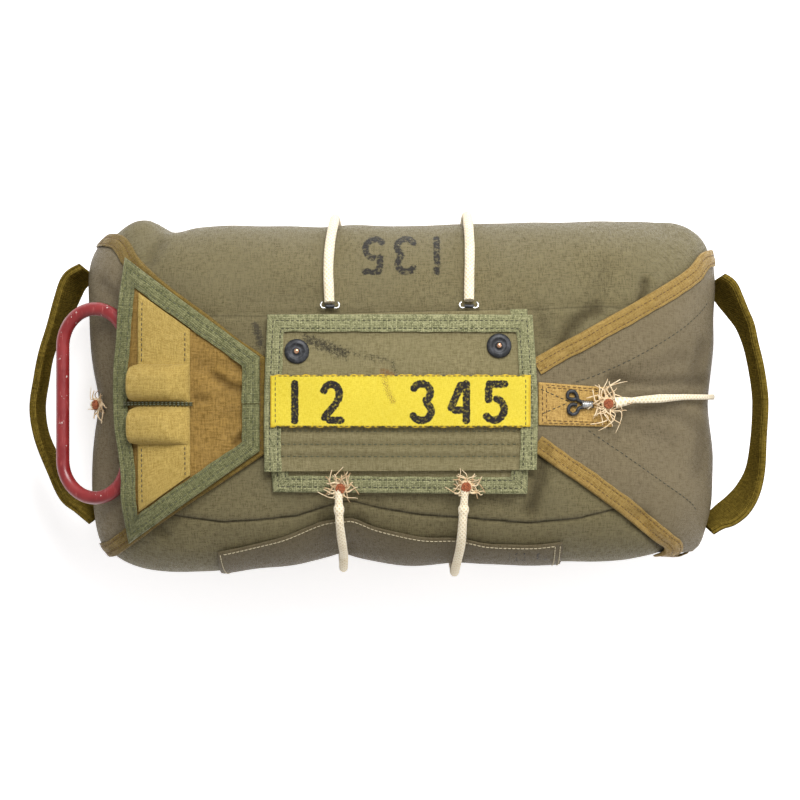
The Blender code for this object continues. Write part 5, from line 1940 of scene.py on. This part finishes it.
def cut_rubber():
    """Perished rubber: rust-orange, powdery, mottled darker and lighter."""
    material, tree, shader = new_material("perished_rubber")
    fading = effect(tree, FADING, {0: 700.0, 1: 37.0})
    colour = between(tree, fading[0], (0.200, 0.045, 0.014, 1.0), (0.430, 0.135, 0.050, 1.0))
    tree.links.new(colour, shader.inputs["Base Color"])
    tree.links.new(band_of(tree, fading[0], -3.0, 2.0), shader.inputs["Roughness"])
    emboss(tree, shader, fading[0], 0.5, 0.0002)
    return material


def loose_yarn():
    """Loose cotton yarn, cream with tea-coloured tips."""
    material, tree, shader = new_material("loose_yarn")
    fading = effect(tree, FADING, {0: 420.0, 1: 41.0})
    colour = between(tree, fading[0], (0.880, 0.760, 0.530, 1.0), (0.600, 0.400, 0.200, 1.0))
    colour = between(tree, value_of(tree, "yarn_tone"), colour, (0.330, 0.190, 0.080, 1.0))
    tree.links.new(colour, shader.inputs["Base Color"])
    tree.links.new(band_of(tree, fading[0], -3.0, 2.0), shader.inputs["Roughness"])
    emboss(tree, shader, fading[1], 0.4, 0.0001)
    return material


rubber_finish = cut_rubber()
yarn_finish = loose_yarn()


def joined_tubes(name, tubes, finish, tones=None, **link):
    """Many thin closed tubes as one mesh."""
    places = []
    faces = []
    count = 0
    for rings in tubes:
        stations, sides = rings.shape[:2]
        points = rings.reshape(-1, 3)
        cell = ring_cells(stations, sides)
        first, last = list(range(sides)), list(range((stations - 1) * sides, stations * sides))
        corner = points[cell] - points.mean(axis=0)
        volume = (corner[:, 0] * np.cross(corner[:, 1], corner[:, 2])).sum()
        if volume < 0:
            cell = cell[:, ::-1]
            ends = (first, last[::-1])
        else:
            ends = (first[::-1], last)
        faces += (cell + count).tolist() + [[c + count for c in end] for end in ends]
        places.append(points)
        count += stations * sides
    places = np.vstack(places)
    uvs = places[[corner for face in faces for corner in face]][:, :2]
    mesh = mesh_of(name, places, faces, uvs, sharp=180)
    if tones is not None:
        carry(mesh, "yarn_tone", tones)
    return link_piece(name, mesh, finish, **link)


def frayed_end(name, place, lift, heading, yarns, reach, number):
    """The hub of packed braid, its burst yarns, and the rubber threads standing in it."""
    random = np.random.default_rng(100 + number)
    middle = on_top(place[0], place[1]).reshape(1, 3)
    up = outward(middle)[0]
    foot = settle(middle, lift)[0]
    way = np.array((math.cos(math.radians(heading)), math.sin(math.radians(heading)), 0.0))
    way = way - up * (way @ up)
    way = way / np.linalg.norm(way)
    other = np.cross(up, way)
    tubes = []
    tones = []
    for k in range(yarns):
        angle = 2 * math.pi * (k + random.uniform(-0.4, 0.4)) / yarns
        along_cord = math.cos(angle) > 0.86
        length = reach * random.uniform(0.45, 1.0) * (0.55 if along_cord else 1.0)
        rise = random.uniform(0.0, 0.85)
        curl = random.choice((-1.0, 1.0)) * random.uniform(0.6, 1.7)
        droop = random.uniform(0.2, 1.0)
        start = random.uniform(0.15, 0.85) * HUB_HEIGHT
        out = math.cos(angle) * way + math.sin(angle) * other
        aside = np.cross(up, out)
        t = np.linspace(0, 1, 14)
        spread = HUB_RADIUS * 0.75 + length * (t - 0.18 * t**3 * abs(curl))
        height = start + length * (rise * t * (1 - 0.75 * droop * t))
        height = np.maximum(height, 0.0004)
        swing = length * curl * (0.46 * t**2 + 0.12 * np.sin(6.0 * t + 3 * curl))
        path = foot + spread[:, None] * out + height[:, None] * up + swing[:, None] * aside
        size = YARN_RADIUS * random.uniform(0.65, 1.25) * np.linspace(1.1, 0.50, 14)
        rings = tube_rings(path, size, 5)
        tubes.append(rings)
        tone = random.choice((0.0, 0.1, 0.3, 0.9)) * np.linspace(0.2, 1.0, 14)
        tones.append(np.repeat(tone, 5))
    hub_steps = ((0.80, 0.0), (1.0, 0.0007), (1.0, 0.0018), (0.88, 0.0027), (0.60, 0.0031))
    turn = 2 * math.pi * np.arange(20) / 20
    round_way = np.cos(turn)[:, None] * way + np.sin(turn)[:, None] * other
    lumps = 1 + 0.06 * np.sin(7 * turn + number) + 0.04 * np.sin(11 * turn)
    edge = HUB_RADIUS * lumps[:, None] * round_way
    hub = np.array([foot + up * height + share * edge for share, height in hub_steps])
    tubes.append(hub)
    tones.append(np.full(hub.shape[0] * hub.shape[1], 0.25))
    joined_tubes(
        "frayed_yarns_" + name,
        tubes,
        yarn_finish,
        np.concatenate(tones),
        slot="cream_braid",
        stands_for=["frayed_" + name],
    )
    threads = []
    for ring, count in ((0.0, 1), (0.36, 6), (0.72, 12), (0.98, 15)):
        for k in range(count):
            angle = 2 * math.pi * (k + random.uniform(-0.15, 0.15)) / count + ring
            out = math.cos(angle) * way + math.sin(angle) * other
            spot = foot + (RUBBER_REACH - RUBBER_THREAD) * ring * out
            top = HUB_HEIGHT + 0.0022 * random.uniform(0.72, 1.0) * (1 - 0.25 * ring**2)
            lean = random.uniform(-0.06, 0.06, 2)
            levels = np.array((HUB_HEIGHT - 0.0002, top - 0.0005, top - 0.00015, top))
            sizes = RUBBER_THREAD * np.array((1.0, 1.0, 0.85, 0.4))
            angles = 2 * math.pi * np.arange(7) / 7
            around = np.cos(angles)[:, None] * way + np.sin(angles)[:, None] * other
            rings = []
            for level, size in zip(levels, sizes):
                shift = (level - HUB_HEIGHT) * (lean[0] * way + lean[1] * other)
                rings.append(spot + shift + up * level + size * around)
            threads.append(np.array(rings))
    joined_tubes(
        "rubber_core_" + name, threads, rubber_finish, slot="rust_rubber", stands_for=["core_" + name]
    )


for number, (name, (place, lift, heading, yarns, reach)) in enumerate(FRAYED_ENDS.items()):
    frayed_end(name, place, lift, heading, yarns, reach, number)


# The hooks: bent steel wire, one blackened and lying before the right band's cut end,
# two bright ones that hold the upper bands under the cover's edge.
HOOK_WIRE = 0.0011
HOOK_LIFT = PATCH_LIFT + PATCH_CLOTH + 0.0014
HOOK_LOBES = (
    # plan line of each bent wire
    (
        (0.1128, -0.0016),
        (0.1070, -0.0012),
        (0.1040, 0.0000),
        (0.1032, 0.0030),
        (0.1012, 0.0052),
        (0.0984, 0.0044),
        (0.0980, 0.0016),
        (0.1004, 0.0004),
        (0.1030, 0.0008),
    ),
    (
        (0.1128, -0.0038),
        (0.1070, -0.0042),
        (0.1044, -0.0050),
        (0.1034, -0.0072),
        (0.1010, -0.0084),
        (0.0986, -0.0070),
        (0.0988, -0.0040),
        (0.1008, -0.0026),
        (0.1034, -0.0030),
    ),
)
hook_tubes = []
for line in HOOK_LOBES:
    plan = smooth_line(line, 0.0006)
    hook_tubes.append(tube_rings(settle(on_top(plan[:, 0], plan[:, 1]), HOOK_LIFT), HOOK_WIRE, 10))
joined_tubes("end_hook_wire", hook_tubes, black_metal, slot="dark_metal", stands_for=["end_hook"])
collar = np.linspace((0.1062, -0.0027), (0.1120, -0.0027), 26)
collar_path = settle(on_top(collar[:, 0], collar[:, 1]), HOOK_LIFT + 0.0001)


def wound(turn, along):
    """The turns of a wire wound round the hook's shank."""
    return 0.12 * np.sin(2 * math.pi * along / 0.0011) + 0 * turn


joined_tubes(
    "end_hook_winding",
    [tube_rings(resampled(collar_path, 0.00022), 0.0021, 14, ripple=wound)],
    bright_steel,
)


def band_hook(name, x, start_turn):
    """The wire ends that reach out on both sides of an upper band, and the dark eye between them."""
    turns = np.array((start_turn, start_turn + 1.0))
    foot = settle(on_side(1, np.full(2, x), turns), 0.0036)
    way = foot[1] - foot[0]
    way = way / np.linalg.norm(way)
    side = np.array((1.0, 0.0, 0.0))
    tubes = []
    for end in (-1, 1):
        path = []
        for k in range(13):
            angle = math.radians(-70 + 250 * k / 12)
            out = 0.0036 + 0.0019 * math.cos(angle)
            forward = 0.0008 + 0.0019 * math.sin(angle)
            path.append(foot[0] + side * end * out + way * forward)
        tubes.append(tube_rings(np.array(path), 0.00055, 8))
    joined_tubes(name + "_wire", tubes, bright_steel, slot="dark_metal", stands_for=[name])
    eye = np.array([foot[0] + side * s + way * 0.0016 for s in np.linspace(-0.0028, 0.0028, 8)])
    joined_tubes(name + "_eye", [tube_rings(eye, 0.0011, 10)], black_metal)


band_hook("band_hook_left", -0.0412, 53.1)
band_hook("band_hook_right", 0.0406, 52.8)


# The label sewn along the lower wall: faded cloth, one pale row of stitching round its
# rim and a faint print of plain numerals.
LABEL_EDGES = (
    # x, upper edge's angle, lower edge's angle
    (-0.1090, 30.5, -6.0),
    (-0.0900, 33.0, -6.0),
    (-0.0704, 36.0, -6.0),
    (-0.0560, 39.0, -6.0),
    (-0.0434, 41.5, -6.0),
    (-0.0330, 42.5, -6.0),
    (-0.0270, 42.5, -6.0),
    (-0.0119, 38.5, -6.0),
    (0.0131, 36.5, -6.0),
    (0.0333, 36.0, -6.0),
    (0.0518, 34.5, -6.0),
    (0.0750, 34.5, -6.0),
    (0.0970, 35.0, -6.0),
)
LABEL_LIFT = 0.0013
LABEL_PRINT = written("123", 0.0640, -0.0965, 0.0050, 0.0045)
LABEL_PRINT = LABEL_PRINT + written("45", 0.0810, -0.0965, 0.0050, 0.0045)


def label_marks(tree, colour):
    """The faint print."""
    return ink_on(tree, colour, "print", (0.035, 0.032, 0.030), worn=0.5, edge=0.00025, grain=900.0)


label_finish = woven_cloth(
    "label_cloth",
    dark=(0.085, 0.066, 0.034),
    light=(0.170, 0.136, 0.076),
    faded=(0.135, 0.108, 0.060),
    threads=1700.0,
    seed=43.0,
    extra=label_marks,
)
table = np.array(LABEL_EDGES)
edges = smooth_line(table * (1000, 1, 1), 1.5) / (1000, 1, 1)
edges[:, 1] -= 0.35 * np.exp(-(((edges[:, 0] - edges[0, 0]) / 0.001) ** 2))
share = np.concatenate([[0.0, 0.012], np.linspace(0.03, 0.99, 34), [1.0]])
turns = edges[:, 1:2] * (1 - share) + edges[:, 2:3] * share
x = np.repeat(edges[:, :1], len(share), axis=1)
bridge = LABEL_LIFT + 0.0012 * np.exp(-(((x + 0.034) / 0.012) ** 2))
label_cloth, label_flat, label_area = sheet_of(
    "sewn_label_cloth",
    on_side(-1, x, turns),
    bridge,
    PATCH_CLOTH,
    label_finish,
    slot="label_cloth",
    stands_for=["sewn_label"],
)
spots = np.array([v.co for v in label_cloth.data.vertices])
carry(
    label_cloth.data,
    "print",
    np.where(spots[:, 2] > 0.08, strokes_field(spots, LABEL_PRINT, 0.00035), 0.02),
)


def label_line(x, turn):
    """A line on the label's face."""
    height = LABEL_LIFT + PATCH_CLOTH + 0.0012 * np.exp(-(((x + 0.034) / 0.012) ** 2))
    return settle(on_side(-1, x, turn), height)


pale_thread = sewing_thread("pale_thread", (0.330, 0.270, 0.150), (0.620, 0.540, 0.360))
inner = edges[(edges[:, 0] > -0.1075) & (edges[:, 0] < 0.0955)]
left_turns = np.linspace(inner[0, 1] - 1.2, -4.0, 40)
right_turns = np.linspace(inner[-1, 1] - 1.2, -4.0, 40)
label_rows = [
    label_line(inner[:, 0], inner[:, 1] - 1.2),
    label_line(np.linspace(-0.1075, -0.1030, 40), left_turns),
    label_line(np.full(40, 0.0955), right_turns),
    label_line(np.full(40, 0.0925), right_turns),
    label_line(inner[:, 0], np.full(len(inner), -4.0)),
]
label_sewn = stitching(
    "sewn_label_stitches", label_rows, pale_thread, radius=0.00030, pitch=0.0026, gap=0.0003
)


# The handles: heavy cotton webbing folded double, standing on edge round each end and
# turned towards flat where it goes down behind the pack.
WEBBING_THICK = 0.0046
WEBBING_WIDTH = 0.0440
HANDLE_MIDDLE_Z = 0.0560
HANDLES = {
    # x, y and how far the top edge leans out, in degrees
    "handle_left": (
        (-0.1940, 0.0797, -8.0),
        (-0.2022, 0.0735, -10.0),
        (-0.2075, 0.0615, -8.0),
        (-0.2141, 0.0440, -3.0),
        (-0.2197, 0.0287, 0.0),
        (-0.2228, 0.0130, 0.0),
        (-0.2252, -0.0050, 0.0),
        (-0.2222, -0.0235, 0.0),
        (-0.2140, -0.0422, -3.0),
        (-0.2048, -0.0578, -8.0),
        (-0.1963, -0.0650, -8.0),
        (-0.1875, -0.0724, -8.0),
    ),
    "handle_right": (
        (0.1961, 0.0742, 8.0),
        (0.2010, 0.0690, 12.0),
        (0.2052, 0.0620, 10.0),
        (0.2100, 0.0540, 6.0),
        (0.2145, 0.0460, 3.0),
        (0.2180, 0.0345, 0.0),
        (0.2209, 0.0220, 0.0),
        (0.2234, 0.0067, 0.0),
        (0.2240, -0.0050, 0.0),
        (0.2228, -0.0240, 0.0),
        (0.2209, -0.0428, 3.0),
        (0.2165, -0.0556, 8.0),
        (0.2100, -0.0650, 12.0),
        (0.2025, -0.0712, 12.0),
        (0.1962, -0.0748, 8.0),
        (0.1901, -0.0783, 8.0),
    ),
}
WEBBING_SECTION = (
    # share of the half thickness, share of the half width
    (-1.00, -0.90), (-0.86, -0.97), (-0.45, -1.00), (
        -0.10, -0.965
    ), (0.10, -0.965), (0.45, -1.00), (0.86, -0.97), (1.00, -0.90),
    (1.00, -0.60), (1.00, -0.30), (1.00, 0.00), (1.00, 0.30), (1.00, 0.60),
    (1.00, 0.90), (0.86, 0.97), (0.45, 1.00), (0.10, 0.965), (
        -0.10, 0.965
    ), (-0.45, 1.00), (-0.86, 0.97), (-1.00, 0.90),
    (-1.00, 0.60), (-1.00, 0.30), (-1.00, 0.00), (-1.00, -0.30), (-1.00, -0.60),
)


def heavy_webbing():
    """Olive cotton webbing: close ribs across its width, with pale specks."""
    material, tree, shader = new_material("olive_webbing")
    place = wired(tree, "ShaderNodeTexCoord").outputs["UV"]
    parts = wired(tree, "ShaderNodeSeparateXYZ", {0: place}).outputs
    ribs = sums(tree, "SINE", sums(tree, "MULTIPLY", parts[1], 2 * math.pi * 900))
    ends = sums(tree, "SINE", sums(tree, "MULTIPLY", parts[0], 2 * math.pi * 520))
    height = sums(tree, "MULTIPLY_ADD", ribs, 0.3, sums(tree, "MULTIPLY", ends, 0.7))
    weave = effect(tree, WEAVE, {0: 900.0, 1: 0.6})
    fading = effect(tree, FADING, {0: 45.0, 1: 47.0})
    shade = band_of(tree, sums(tree, "MULTIPLY_ADD", height, 0.25, weave[1]), 0.1, 1.0)
    colour = between(tree, shade, (0.088, 0.060, 0.010, 1.0), (0.225, 0.158, 0.028, 1.0))
    colour = between(tree, sums(tree, "MULTIPLY", fading[0], 0.5), colour, (0.150, 0.106, 0.018, 1.0))
    colour = between(tree, sums(tree, "MULTIPLY", fading[1], 0.2), colour, (0.300, 0.220, 0.040, 1.0))
    tree.links.new(colour, shader.inputs["Base Color"])
    tree.links.new(band_of(tree, shade, 3.0, -1.5), shader.inputs["Roughness"])
    shader.inputs["Specular IOR Level"].default_value = 0.0
    emboss(tree, shader, height, 0.8, 0.0004)
    return material


webbing_finish = heavy_webbing()
for name, table in HANDLES.items():
    table = np.array(table)
    line = smooth_line(table * (1, 1, 0.001), 0.0016) / (1, 1, 0.001)
    ways = np.gradient(line[:, :2], axis=0)
    ways = ways / np.linalg.norm(ways, axis=1)[:, None]
    run = run_of(line[:, :2])
    rings = []
    half_thick, half_wide = WEBBING_THICK / 2, WEBBING_WIDTH / 2
    for (x, y, lean), way, along in zip(line, ways, run):
        middle = np.array((x, y, HANDLE_MIDDLE_Z + 0.0004 * math.sin(along * 130)))
        flat = np.array((way[1], -way[0], 0.0))
        up = np.array((0.0, 0.0, 1.0))
        lean = math.radians(lean) * (1 if flat[0] * x > 0 else -1) * (1 if x > 0 else -1)
        out = flat * math.cos(lean) - up * math.sin(lean)
        top = up * math.cos(lean) + flat * math.sin(lean)
        rings.append([middle + out * a * half_thick + top * b * half_wide for a, b in WEBBING_SECTION])
    mesh = rings_mesh(name + "_webbing", rings)
    link_piece(name + "_webbing", mesh, webbing_finish, slot="olive_webbing", stands_for=[name])
